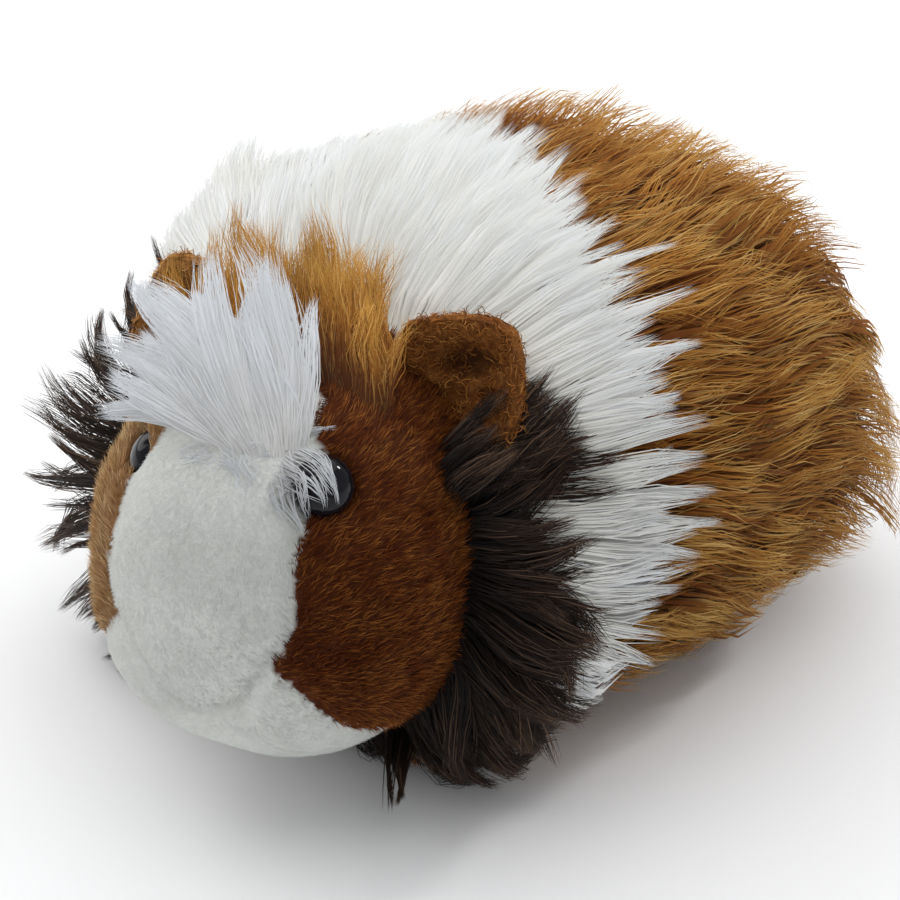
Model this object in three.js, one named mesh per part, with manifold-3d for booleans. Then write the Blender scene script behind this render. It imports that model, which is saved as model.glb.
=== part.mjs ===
// Plush guinea pig: a stuffed toy with a long-pile coat, a short-pile face,
// felted ears and two domed plastic eyes.  Millimetres, +Z up, the nose towards
// -Y, the toy's own left side towards +X, the floor at z = 0.
//
// The outer coat is modelled whole, out to the tips of its locks, and parted
// along the seams of its panels by thin cuts.
import * as THREE from "three";
import { mergeVertices } from "three/addons/utils/BufferGeometryUtils.js";
import Module from "manifold-3d";

const wasm = await Module();
wasm.setup();

// ---------------------------------------------------------------- dimensions
const ORIGIN = [-7.768, -3.058];       // x, y of the box centre in the working frame
const GAP = 0.36;                 // clearance left along every seam

const TRUNK = {
  c: [0, 0, 56], a: 76, b: 60, front: 64, rear: 98,
  eTop: 2.6, eLowFront: 2.15, eLowRear: 2.9,      // section: upper half, lower half in front and behind
  eFrontTop: 2.1, eFrontLow: 3.0, eRearTop: 2.5, eRearLow: 3.4,   // lengthwise
};
const COLLAR = { c: [0, -40, 45], s: [68, 30, 49], e: 2.3 };   // the ruff's mass behind the cheeks
const HEAD = { c: [5, -58, 59], a: 42, f: 48, h: 44, e1: 2.35, e2: 2.25, yaw: 16 };
const EYE = {
  left: { dir: [0.43, 0.57, 0.66], face: [0.60, 0.58, 0.55], sink: 1.2 },
  right: { dir: [-0.56, 0.57, 0.585], face: [-0.80, 0.46, 0.38], sink: 3.6 },   // set a little wider and deeper
  r: 6.2, depth: 4.6,
};
const EAR = { l: 25.5, v: -8, w: 33, width: 28.5, height: 27, thick: 5.4, cup: 4.6 };
const FLOOR_FLAT = 0;             // everything rests at this level

// ------------------------------------------------------------------- helpers
const DEG = Math.PI / 180;
const spow = (v, p) => Math.sign(v) * Math.pow(Math.abs(v), p);
const mix = (a, b, t) => a + (b - a) * t;
const V = (x, y, z) => new THREE.Vector3(x, y, z);
const clamp01 = (t) => Math.min(1, Math.max(0, t));
const smooth = (a, b, t) => { const k = clamp01((t - a) / (b - a)); return k * k * (3 - 2 * k); };

// Head frame: l towards the toy's left, v forwards, w up, from the head's centre.
const yawR = HEAD.yaw * DEG;
const headLat = V(Math.cos(yawR), Math.sin(yawR), 0);
const headFwd = V(Math.sin(yawR), -Math.cos(yawR), 0);
const headUp = V(0, 0, 1);
const fromHead = (l, v, w) => V(...HEAD.c).addScaledVector(headLat, l).addScaledVector(headFwd, v).addScaledVector(headUp, w);
const dirHead = (l, v, w) => V(0, 0, 0).addScaledVector(headLat, l).addScaledVector(headFwd, v).addScaledVector(headUp, w).normalize();

// A closed mesh from rings of equal length, with a pole at each end.
function ringsToGeometry(rings, poleA, poleB) {
  const n = rings[0].length, pos = [], idx = [];
  pos.push(poleA.x, poleA.y, poleA.z);
  for (const ring of rings) for (const p of ring) pos.push(p.x, p.y, p.z);
  pos.push(poleB.x, poleB.y, poleB.z);
  const last = pos.length / 3 - 1;
  for (let j = 0; j < n; j++) idx.push(0, 1 + (j + 1) % n, 1 + j);
  for (let i = 0; i < rings.length - 1; i++) for (let j = 0; j < n; j++) {
    const a = 1 + i * n + j, b = 1 + i * n + (j + 1) % n, c = a + n, d = b + n;
    idx.push(a, b, d, a, d, c);
  }
  const base = 1 + (rings.length - 1) * n;
  for (let j = 0; j < n; j++) idx.push(base + j, base + (j + 1) % n, last);
  const g = new THREE.BufferGeometry();
  g.setAttribute("position", new THREE.Float32BufferAttribute(pos, 3));
  g.setIndex(idx);
  return g;
}

function signedVolume(g) {
  const p = g.getAttribute("position"), ix = g.getIndex();
  let v = 0;
  const a = V(0, 0, 0), b = V(0, 0, 0), c = V(0, 0, 0);
  for (let i = 0; i < ix.count; i += 3) {
    a.fromBufferAttribute(p, ix.getX(i)); b.fromBufferAttribute(p, ix.getX(i + 1)); c.fromBufferAttribute(p, ix.getX(i + 2));
    v += a.dot(b.clone().cross(c)) / 6;
  }
  return v;
}

// three.js geometry to a solid for joining and cutting, and back.
function solid(geometry) {
  let g = geometry.clone();
  for (const k of Object.keys(g.attributes)) if (k !== "position") g.deleteAttribute(k);
  g = mergeVertices(g, 1e-4);
  if (signedVolume(g) < 0) {
    const ix = Array.from(g.getIndex().array);
    for (let i = 0; i < ix.length; i += 3) [ix[i], ix[i + 1]] = [ix[i + 1], ix[i]];
    g.setIndex(ix);
  }
  return new wasm.Manifold(new wasm.Mesh({
    numProp: 3,
    vertProperties: new Float32Array(g.getAttribute("position").array),
    triVerts: new Uint32Array(g.getIndex().array),
  }));
}
function largest(m) {
  const parts = m.decompose();
  let best = parts[0];
  for (const p of parts) if (p.volume() > best.volume()) best = p;
  return best;
}
function toGeometry(m) {
  const mesh = m.getMesh();
  const g = new THREE.BufferGeometry();
  const pos = new Float32Array(mesh.numVert * 3);
  for (let i = 0; i < mesh.numVert; i++) for (let k = 0; k < 3; k++) pos[i * 3 + k] = mesh.vertProperties[i * mesh.numProp + k];
  g.setAttribute("position", new THREE.BufferAttribute(pos, 3));
  g.setIndex(Array.from(mesh.triVerts));
  g.computeVertexNormals();
  return g;
}
const unite = (list) => list.reduce((a, b) => a.add(b));

// A prism: a closed outline of (p, q) pairs carried along a direction.
function prism(outline, place) {
  const shape = new THREE.Shape(outline.map(([p, q]) => new THREE.Vector2(p, q)));
  const g = new THREE.ExtrudeGeometry(shape, { depth: 1, bevelEnabled: false, steps: 1 });
  const pos = g.getAttribute("position");
  for (let i = 0; i < pos.count; i++) {
    const q = place(pos.getX(i), pos.getY(i), pos.getZ(i));
    pos.setXYZ(i, q.x, q.y, q.z);
  }
  return solid(g);
}

// --------------------------------------------------------------- trunk coat
// Superellipsoid, blunter in front, with shallow scallops where locks overlap.
function trunkPoint(theta, phi, grow, scallop) {
  const t = TRUNK, high = smooth(-0.5, 0.5, Math.sin(theta)), len = (phi < 0 ? t.front : t.rear) + grow;
  const e2 = phi < 0 ? mix(t.eFrontLow, t.eFrontTop, high) : mix(t.eRearLow, t.eRearTop, high);
  const k = spow(Math.cos(phi), 2 / e2), y = len * spow(Math.sin(phi), 2 / e2);
  const lock = scallop * (0.62 * Math.cos(13 * theta + 2.6 * Math.sin(y / 17)) * Math.cos(y / 7.5 + 1.7 * Math.cos(3 * theta))
    + 0.38 * Math.cos(7 * theta - y / 11));
  const r = 1 + (lock * Math.cos(phi)) / 60;
  const e1 = Math.sin(theta) < 0 ? mix(t.eLowFront, t.eLowRear, smooth(-20, 60, y)) : t.eTop;
  return V((t.a + grow) * k * spow(Math.cos(theta), 2 / e1) * r, y,
    t.c[2] + (t.b + grow) * k * spow(Math.sin(theta), 2 / e1) * r);
}
function trunkSolid(grow = 0, scallop = 2.2, nTheta = 28, nPhi = 16) {
  const rings = [];
  for (let i = 1; i < nPhi; i++) {
    const phi = mix(-Math.PI / 2, Math.PI / 2, i / nPhi), ring = [];
    for (let j = 0; j < nTheta; j++) ring.push(trunkPoint((2 * Math.PI * j) / nTheta + 0.03, phi, grow, scallop));
    rings.push(ring);
  }
  return solid(ringsToGeometry(rings, trunkPoint(0, -Math.PI / 2, grow, 0), trunkPoint(0, Math.PI / 2, grow, 0)));
}
function collarSolid(grow) {
  const g = COLLAR, rings = [], nTheta = 24, nPhi = 10;
  const at = (th, ph) => {
    const k = spow(Math.cos(ph), 2 / g.e);
    return V(g.c[0] + (g.s[0] + grow) * k * spow(Math.cos(th), 2 / g.e), g.c[1] + (g.s[1] + grow) * spow(Math.sin(ph), 2 / g.e),
      g.c[2] + (g.s[2] + grow) * k * spow(Math.sin(th), 2 / g.e));
  };
  for (let i = 1; i < nPhi; i++) {
    const ring = [];
    for (let j = 0; j < nTheta; j++) ring.push(at((2 * Math.PI * j) / nTheta, mix(-Math.PI / 2, Math.PI / 2, i / nPhi)));
    rings.push(ring);
  }
  return solid(ringsToGeometry(rings, at(0, -Math.PI / 2), at(0, Math.PI / 2)));
}
const box = (x0, x1, y0, y1, z0, z1) => {
  const g = new THREE.BoxGeometry(x1 - x0, y1 - y0, z1 - z0);
  g.translate((x0 + x1) / 2, (y0 + y1) / 2, (z0 + z1) / 2);
  return solid(g);
};

// ---------------------------------------------------------------- head coat
// Radius of the head along a direction of the head frame.
const HEAD_BUMPS = [
  // direction l, v, w, height mm, spread
  [0.00, 0.80, -0.60, 2.6, 0.42],   // muzzle, low in front
  [0.46, 0.62, -0.62, 1.8, 0.34],   // left chop
  [-0.46, 0.62, -0.62, 1.8, 0.34],  // right chop
  [0.86, 0.05, -0.32, 1.4, 0.45],   // left cheek
  [-0.86, 0.05, -0.32, 1.4, 0.45],  // right cheek
  [...EYE.left.dir, -1.6, 0.18],    // left eye hollow
  [...EYE.right.dir, -1.6, 0.18],   // right eye hollow
  [0.00, 0.35, -0.94, -2.2, 0.16],  // mouth tuck under the muzzle
];
function headRadius(d) {
  const q = HEAD, s = Math.pow(Math.pow(Math.abs(d.x / q.a), q.e1) + Math.pow(Math.abs(d.z / q.h), q.e1), q.e2 / q.e1)
    + Math.pow(Math.abs(d.y / q.f), q.e2);
  let r = Math.pow(s, -1 / q.e2);
  for (const [l, v, w, amp, spread] of HEAD_BUMPS) {
    const n = Math.hypot(l, v, w), dx = d.x - l / n, dy = d.y - v / n, dz = d.z - w / n;
    r += amp * Math.exp(-(dx * dx + dy * dy + dz * dz) / (2 * spread * spread));
  }
  return r;
}
function headSolid(grow = 0, nTheta = 24, nPhi = 14) {
  const rings = [];
  const at = (theta, phi) => {
    const d = V(Math.cos(phi) * Math.cos(theta), Math.sin(phi), Math.cos(phi) * Math.sin(theta));
    const r = headRadius(d) + grow;
    return fromHead(d.x * r, d.y * r, d.z * r);
  };
  for (let i = 1; i < nPhi; i++) {
    const phi = mix(-Math.PI / 2, Math.PI / 2, i / nPhi), ring = [];
    for (let j = 0; j < nTheta; j++) ring.push(at((2 * Math.PI * j) / nTheta, phi));
    rings.push(ring);
  }
  return solid(ringsToGeometry(rings, at(0, -Math.PI / 2), at(0, Math.PI / 2)));
}

// ------------------------------------------------------------------- a lock
// A tapered, bent, pointed lock of pile from a root along a direction, curling
// towards a second direction.
function lock(root, dir, toward, length, radius, bend = 0.5, flat = 0.6, sides = 4, steps = 3) {
  const d0 = dir.clone().normalize(), d1 = toward.clone().normalize();
  const centre = [root.clone().addScaledVector(d0, -radius * 1.5)], dirs = [d0.clone()];
  for (let i = 1; i <= steps; i++) {
    const d = d0.clone().lerp(d1, bend * (i / steps)).normalize();
    centre.push(centre[i - 1].clone().addScaledVector(d, (length + radius * 1.5) / steps));
    dirs.push(d);
  }
  const side0 = new THREE.Vector3().crossVectors(d0, d1);
  if (side0.lengthSq() < 1e-4) side0.crossVectors(d0, V(0.3, 0.2, 0.9));
  side0.normalize();
  const rings = [];
  for (let i = 0; i < steps; i++) {
    const t = i / steps, r = radius * (t < 0.25 ? mix(0.8, 1, t / 0.25) : Math.pow(1 - (t - 0.25) / 0.75, 0.8) * 0.98 + 0.02);
    const up = new THREE.Vector3().crossVectors(side0, dirs[i]).normalize();
    const sd = new THREE.Vector3().crossVectors(dirs[i], up).normalize(), ring = [];
    for (let j = 0; j < sides; j++) {
      const a = (2 * Math.PI * j) / sides;
      ring.push(centre[i].clone().addScaledVector(sd, r * Math.cos(a)).addScaledVector(up, r * flat * Math.sin(a)));
    }
    rings.push(ring);
  }
  return solid(ringsToGeometry(rings, centre[0].clone().addScaledVector(d0, -0.3 * radius), centre[steps]));
}
// Steady pseudo-random numbers, so that every build gives the same locks.
function dice(seed) {
  let s = seed >>> 0;
  return () => { s = (Math.imul(s, 1664525) + 1013904223) >>> 0; return s / 4294967296; };
}
// Outward direction of the trunk coat at an angle round it and a place along it.
function trunkNormal(theta, phi) {
  const p = trunkPoint(theta, phi, 0, 0), a = trunkPoint(theta + 0.01, phi, 0, 0), b = trunkPoint(theta, phi + 0.01, 0, 0);
  const n = new THREE.Vector3().crossVectors(a.sub(p), b.sub(p)).normalize();
  if (n.dot(p.clone().sub(V(...TRUNK.c))) < 0) n.negate();
  return n;
}
function trunkLocks({ seed, count, theta, phi, length, radius, lift, flow }) {
  const rnd = dice(seed), out = [];
  for (let i = 0; i < count; i++) {
    const th = mix(theta[0], theta[1], (i + 0.15 + 0.7 * rnd()) / count), ph = mix(phi[0], phi[1], rnd());
    const p = trunkPoint(th, ph, -3.5, 0), n = trunkNormal(th, ph);
    const f = flow.clone().addScaledVector(n, -flow.dot(n)).normalize();
    const up = mix(lift[0], lift[1], rnd()) * DEG;
    const d = f.clone().multiplyScalar(Math.cos(up)).addScaledVector(n, Math.sin(up));
    out.push(lock(p, d, f, mix(length[0], length[1], rnd()), mix(radius[0], radius[1], rnd()), 0.55));
  }
  return out;
}

// ------------------------------------------------------------- whole volumes
const aboveFloor = box(-200, 200, -220, 220, FLOOR_FLAT, 300);
const headWhole = headSolid(0);
const headRoom = headSolid(GAP);

// Side-view outlines of the coat's colour panels, as (y, z), with teeth where
// the tips of one panel's locks lie over the next.
function toothed(points, tooth, pitch, side, below = 80) {
  // points run along the seam from top to bottom; teeth point to +y
  const out = [];
  for (let i = 0; i < points.length - 1; i++) {
    const [y0, z0] = points[i], [y1, z1] = points[i + 1];
    const n = Math.max(1, Math.round(Math.hypot(y1 - y0, z1 - z0) / pitch));
    for (let k = 0; k < n; k++) {
      out.push([mix(y0, y1, k / n) + side, mix(z0, z1, k / n)]);
      const zt = mix(z0, z1, (k + 0.5) / n);
      if (zt < below) out.push([mix(y0, y1, (k + 0.5) / n) + side + tooth, zt]);
    }
  }
  const e = points[points.length - 1];
  out.push([e[0] + side, e[1]]);
  return out;
}
const BAND_REAR = [[22, 150], [22, 117], [16, 100], [6, 76], [0, 52], [-8, 30], [-20, 8], [-22, -20]];
const BAND_FRONT = [[-45, 150], [-45, 100], [-44, 80], [-44, 60], [-43, 34], [-43, 10], [-43, -20]];
const acrossX = (x0, x1) => (p, q, k) => V(mix(x0, x1, k), p, q);

const seamA = (s) => toothed(BAND_REAR, 10, 16, s * GAP);
const seamB = (s) => toothed(BAND_FRONT, 7, 15, s * GAP);
const rumpRoom = prism([...seamA(1), [260, -20], [260, 150]], acrossX(-220, 220));
const bandRoom = prism([...seamB(1), ...seamA(-1).reverse()], acrossX(-220, 220));
const frontRoom = prism([...seamB(-1), [-260, -20], [-260, 150]], acrossX(-220, 220));

// Locks that break the outline of each panel.
const back = V(0, 1, -0.12), droop = V(0, 0.75, -0.62);
const rumpLocks = [
  ...trunkLocks({ seed: 11, count: 7, theta: [15 * DEG, 165 * DEG], phi: [0.42, 0.75], length: [20, 27], radius: [4.2, 5.6], lift: [16, 28], flow: back }),
  ...trunkLocks({ seed: 12, count: 8, theta: [-18 * DEG, 198 * DEG], phi: [0.85, 1.2], length: [16, 22], radius: [4.0, 5.2], lift: [18, 34], flow: droop }),
  ...trunkLocks({ seed: 13, count: 2, theta: [-42 * DEG, -12 * DEG], phi: [0.1, 0.9], length: [16, 22], radius: [4, 5], lift: [16, 24], flow: droop }),
  ...trunkLocks({ seed: 14, count: 2, theta: [192 * DEG, 222 * DEG], phi: [0.1, 0.9], length: [16, 22], radius: [4, 5], lift: [16, 24], flow: droop }),
];
const makeBandLocks = (grow) => [
  ...trunkLocks({ seed: 21, count: 3, theta: [60 * DEG, 140 * DEG], phi: [-0.3, -0.1], length: [18 + grow, 24 + grow], radius: [4.4 + grow, 5.8 + grow], lift: [15, 25], flow: back }),
  ...trunkLocks({ seed: 22, count: 3, theta: [128 * DEG, 158 * DEG], phi: [-0.62, -0.5], length: [20 + grow, 24 + grow], radius: [3.6 + grow, 4.6 + grow], lift: [30, 42], flow: V(-0.4, 0.9, 0.3) }),
];
const bandLocks = makeBandLocks(0), bandLocksRoom = makeBandLocks(GAP);

// Ruff: pointed dark locks in a fan behind each cheek.  On the left they lie
// back and, low down, hang to the floor; on the right they stand straight out.
const ruffFan = (side) => {
  const rnd = dice(side > 0 ? 31 : 32), out = [], n = 8, g = COLLAR;
  for (let i = 0; i < n; i++) {
    const a = mix(-44, 50, (i + 0.3 + 0.4 * rnd()) / n), y = g.c[1] + mix(-18, -11, rnd());   // round the neck, from low to high
    const c = Math.cos(a * DEG), s = Math.sin(a * DEG), high = smooth(-44, side > 0 ? 12 : -18, a);
    const p = V(side * (g.s[0] - 8) * spow(c, 2 / g.e), y, g.c[2] + (g.s[2] - 8) * spow(s, 2 / g.e));
    const outward = V(side * c, 0, s * 0.75);
    const flow = side > 0 ? V(0.1, -0.35, -1).lerp(V(0, 1, -0.3 * c), high) : V(0, -0.85, -0.7).lerp(V(0, 0.12, -0.1), high);
    const d = side > 0 ? flow.clone().normalize().multiplyScalar(0.8).addScaledVector(outward, 0.6) : flow.clone().add(outward);
    const to = side > 0 ? flow : V(-0.5, flow.y * 0.6 + 0.15, -0.55);
    out.push(lock(p, d, to, side > 0 ? mix(22, 28, rnd()) * mix(0.62, 1, high) : mix(28, 35, rnd()), mix(4.4, 5.6, rnd()), 0.4, 0.62));
  }
  return out;
};

// Crown: gold tufts standing in two bunches before the ears, on one pad.
const CROWN = [-19, -14, -9, -3, 9, 13.5, 18, 22.5];
function crownTufts(grow) {
  const rnd = dice(41);
  const out = [pad(fromHead(1, -7, 37), [27 + grow, 10 + grow, 8 + grow])];
  for (const l of CROWN) {
    const p = fromHead(l, -3 + 5 * rnd(), 39.5 - 0.008 * l * l);
    const lean = -0.24 + (l > 0 ? (l - 16) / 40 : l / 45), d = dirHead(lean, -0.42 - 0.15 * rnd(), 0.88), to = dirHead(lean, -0.8, 0.62);
    out.push(lock(p, d, to, (l > 5 ? mix(29, 34, rnd()) : mix(22, 26, rnd())) + grow, mix(4.4, 5.4, rnd()) + grow, 0.5, 0.75));
  }
  return out;
}
// Forelock: a white fan of long pile from a short line across the brow.
const FAN = [
  // root l, then direction l, v, w and length
  [-8, -0.95, 0.00, 0.28, 24], [-5, -0.86, -0.18, 0.46, 28], [-2, -0.74, -0.32, 0.60, 33],
  [1, -0.56, -0.42, 0.70, 38], [4, -0.41, -0.46, 0.78, 40], [7, -0.27, -0.48, 0.82, 39],
  [9.5, -0.10, -0.46, 0.84, 32], [11.5, 0.40, -0.30, 0.60, 20], [13, 0.92, 0.10, 0.02, 15], [13, 0.70, 0.62, -0.30, 13],
];
function forelockTufts(grow) {
  const rnd = dice(51);
  const out = [pad(fromHead(3, 25, 32), [13 + grow, 6 + grow, 6.5 + grow])];
  for (const [l, dl, dv, dw, len] of FAN) {
    const d = V(l, 27, 35).normalize(), r = headRadius(d) - 1.5, root = fromHead(d.x * r, d.y * r, d.z * r);
    out.push(lock(root, dirHead(dl, dv + 0.35, dw + 0.1), dirHead(dl, dv, dw), len + grow, mix(4.6, 5.6, rnd()) + grow, 0.8, 0.6));
  }
  return out;
}
// A low rounded pad, in the head's own directions.
function pad(c, [rl, rv, rw]) {
  const g = new THREE.SphereGeometry(1, 10, 6);
  g.applyMatrix4(new THREE.Matrix4().makeBasis(headLat.clone().multiplyScalar(rl), headFwd.clone().multiplyScalar(-rv), headUp.clone().multiplyScalar(rw)));
  g.translate(c.x, c.y, c.z);
  return solid(g);
}

// ---------------------------------------------------------------------- eyes
function eyeSolid(side, grow) {
  const { dir, face, sink } = side > 0 ? EYE.left : EYE.right, d = V(...dir).normalize();
  const r = headRadius(d) - sink, c = fromHead(d.x * r, d.y * r, d.z * r);
  const n = dirHead(...face);
  const g = new THREE.SphereGeometry(1, 14, 8);
  g.scale(EYE.r + grow, EYE.r + grow, EYE.depth + grow);
  g.applyQuaternion(new THREE.Quaternion().setFromUnitVectors(V(0, 0, 1), n));
  g.translate(c.x, c.y, c.z);
  return solid(g);
}

// ---------------------------------------------------------------------- ears
// A cupped, rounded flap: a grid bent about its height, with a padded rim.
function earSolid(side, grow) {
  const e = EAR, up = dirHead(side * 0.74, -0.20, 0.62), face = dirHead(side * 0.30, 0.88, 0.42);
  face.addScaledVector(up, -face.dot(up)).normalize();
  const across = new THREE.Vector3().crossVectors(up, face).normalize();
  const base = fromHead(side * e.l, e.v, e.w), nu = 18, nv = 5;
  // outline: superellipse in the plane of the flap; layers from back to front
  const rings = [];
  for (let i = 0; i <= nv; i++) {
    const t = i / nv, depth = -Math.cos(Math.PI * t), shrink = Math.sqrt(Math.max(0, 1 - Math.pow(Math.abs(depth), 2.6))) * 0.30 + 0.70;
    const ring = [];
    for (let j = 0; j < nu; j++) {
      const a = (2 * Math.PI * j) / nu;
      const x = (e.width / 2 + grow) * shrink * spow(Math.cos(a), 2 / 3.3), y = (e.height / 2 + grow) * shrink * spow(Math.sin(a), 2 / 3.3);
      const bend = e.cup * (1 - Math.pow(x / (e.width / 2), 2)) * -1 + 2.2 * Math.pow(clamp01((y + e.height / 2) / e.height), 2);
      ring.push(base.clone().addScaledVector(across, x).addScaledVector(up, y + e.height * 0.36)
        .addScaledVector(face, bend + depth * (e.thick / 2 + grow)));
    }
    rings.push(ring);
  }
  const mid = (depth) => base.clone().addScaledVector(up, e.height * 0.36).addScaledVector(face, -e.cup + 0.6 + depth * (e.thick / 2 + grow));
  return solid(ringsToGeometry(rings, mid(-1.0), mid(1.0)));
}

// ---------------------------------------------------------------------- feet
// Small stuffed paws tucked under the coat, with flat soles.
const FEET = {
  foot_front_left: [25, -38, 17, 24, 9], foot_front_right: [-25, -38, 17, 24, 9],
  foot_rear_left: [34, 46, 19, 34, 9], foot_rear_right: [-34, 46, 19, 34, 9],
};
function footSolid([x, y, w, l, h], grow) {
  const rings = [], n = 12, m = 5;
  const at = (th, ph) => {
    const k = spow(Math.cos(ph), 2 / 2.4);
    return V(x + (w / 2 + grow) * k * spow(Math.cos(th), 2 / 2.4), y + (l / 2 + grow) * k * spow(Math.sin(th), 2 / 2.4),
      h * 0.45 + (h * 0.55 + grow) * spow(Math.sin(ph), 2 / 2.4));
  };
  for (let i = 1; i < m; i++) {
    const ring = [];
    for (let j = 0; j < n; j++) ring.push(at((2 * Math.PI * j) / n, mix(-Math.PI / 2, Math.PI / 2, i / m)));
    rings.push(ring);
  }
  return solid(ringsToGeometry(rings, at(0, -Math.PI / 2), at(0, Math.PI / 2)));
}

// --------------------------------------------------------- parting the whole
const nodes = {};
const trunkWhole = trunkSolid();
const eyesRoom = eyeSolid(1, GAP).add(eyeSolid(-1, GAP));
const earsRoom = earSolid(1, GAP).add(earSolid(-1, GAP));
const feetRoom = unite(Object.values(FEET).map((f) => footSolid(f, GAP)));

nodes.eye_left = eyeSolid(1, 0);
nodes.eye_right = eyeSolid(-1, 0);
nodes.ear_left = earSolid(1, 0);
nodes.ear_right = earSolid(-1, 0);
for (const [name, f] of Object.entries(FEET)) nodes[name] = footSolid(f, 0).intersect(aboveFloor);

// Face panels, cut through the head from the front in the head's own (l, w).
const mirrored = (half) => [...half, ...half.slice().reverse().filter(([p]) => p > 0).map(([p, q]) => [-p, q])];
const MUZZLE_EDGE = [[15, 60], [18.5, 24], [20, 6], [18, 0], [16, -3], [8, -16], [0, -22]];
const CHIN_EDGE = [[0, -22], [8, -16], [16, -3], [20, -9], [25, -17], [29, -25], [31, -34], [32, -70]];
const grown = (outline, d) => outline.map(([p, q]) => [p + Math.sign(p) * d, q]);
const alongFwd = (v0, v1) => (p, q, k) => fromHead(p, mix(v0, v1, k), q);
const muzzleRoom = prism(mirrored(MUZZLE_EDGE), alongFwd(12, 90));
const chinRoom = prism(mirrored(CHIN_EDGE.map(([p, q]) => [p, q - GAP])), alongFwd(-2, 90));
const panelHole = prism(mirrored(grown(MUZZLE_EDGE, GAP)), alongFwd(12 - GAP, 91))
  .add(prism(mirrored(CHIN_EDGE.map(([p, q], i) => [p + [0, -1, 0, 1][Math.min(i, 3)] * GAP, q + GAP * 0.6])), alongFwd(-2 - GAP, 91)));
const faceCut = headWhole.subtract(eyesRoom).subtract(earsRoom);
nodes.muzzle = largest(faceCut.intersect(muzzleRoom));
nodes.chin = largest(faceCut.intersect(chinRoom));
const cheeks = faceCut.subtract(panelHole);
const halfHead = (side) => prism([[side * GAP / 2, -120], [side * 120, -120], [side * 120, 120], [side * GAP / 2, 120]], alongFwd(-120, 120));
nodes.cheek_left = largest(cheeks.intersect(halfHead(1)));
nodes.cheek_right = largest(cheeks.intersect(halfHead(-1)));

// Body panels.  Loose locks may lie over a neighbour, outside its own surface.
// the coat stands clear in front of the ears
const earHollow = (side) => pad(fromHead(side * 33, 4, 38), [18, 17, 20]);
const hollowForHead = unite([headRoom, earsRoom, feetRoom, earHollow(1), earHollow(-1)]);
const panel = (m) => largest(m.subtract(hollowForHead).intersect(aboveFloor));
const BELLY = { x: 42, y0: -40, y1: 62, z: 7 };
const bellyBox = box(-BELLY.x, BELLY.x, BELLY.y0, BELLY.y1, -20, BELLY.z);
const bellyHole = box(-BELLY.x - GAP, BELLY.x + GAP, BELLY.y0 - GAP, BELLY.y1 + GAP, -20, BELLY.z + GAP);
nodes.belly = largest(trunkWhole.subtract(feetRoom).intersect(aboveFloor).intersect(bellyBox));
nodes.rump = panel(unite([trunkWhole, ...rumpLocks]).intersect(rumpRoom).subtract(bellyHole));
nodes.shoulder_band = panel(unite([trunkWhole, ...bandLocks]).intersect(bandRoom).subtract(bellyHole));
const crownRoom = unite(crownTufts(GAP));
const trunkRoom = unite([trunkSolid(GAP), ...bandLocksRoom]).subtract(frontRoom);
for (const [name, side] of [["ruff_left", 1], ["ruff_right", -1]]) {
  const half = box(side > 0 ? GAP / 2 : -200, side > 0 ? 200 : -GAP / 2, -220, 220, -20, 200);
  const coat = trunkWhole.add(collarSolid(0)).intersect(frontRoom).intersect(half).subtract(bellyHole).subtract(crownRoom);
  nodes[name] = panel(unite([coat, ...ruffFan(side).map((k) => k.intersect(half).subtract(trunkRoom))]));
}
nodes.crown = largest(unite(crownTufts(0)).subtract(trunkRoom).subtract(headRoom).subtract(earsRoom));
nodes.forelock = largest(unite(forelockTufts(0)).subtract(headRoom).subtract(eyesRoom).subtract(earsRoom)
  .subtract(crownRoom).subtract(trunkSolid(GAP)));

// ----------------------------------------------------------------- the group
const FINISH = {
  rump: [0x8a5a24, 0.95], shoulder_band: [0xece9e2, 0.95], belly: [0x8a5a24, 0.95], crown: [0x9a6628, 0.95],
  forelock: [0xf1f2f2, 0.95], ruff_left: [0x2c211b, 0.95], ruff_right: [0x2c211b, 0.95],
  cheek_left: [0x5e3317, 0.9], cheek_right: [0x5e3317, 0.9], muzzle: [0xe4e1d6, 0.9], chin: [0xe4e1d6, 0.9],
  ear_left: [0x6b3d1c, 0.95], ear_right: [0x6b3d1c, 0.95], eye_left: [0x08090b, 0.08], eye_right: [0x08090b, 0.08],
  foot_front_left: [0x5e3317, 0.9], foot_front_right: [0x5e3317, 0.9], foot_rear_left: [0x5e3317, 0.9], foot_rear_right: [0x5e3317, 0.9],
};
const toy = new THREE.Group();
for (const [name, m] of Object.entries(nodes)) {
  const [color, roughness] = FINISH[name];
  const mesh = new THREE.Mesh(toGeometry(m), new THREE.MeshStandardMaterial({ color, roughness, metalness: 0 }));
  mesh.name = name;
  toy.add(mesh);
}
toy.position.set(-ORIGIN[0], -ORIGIN[1], 0);
toy.updateMatrixWorld(true);

export default toy;
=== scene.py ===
# Plush guinea pig: looks.  Lengths below are in millimetres in the toy's own
# working axes (nose towards -Y, its own left side +X, floor at z = 0) until
# to_frame() puts them in the CAD frame, in metres.
import math

import bpy
import numpy as np
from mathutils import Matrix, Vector
from mathutils.kdtree import KDTree


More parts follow.
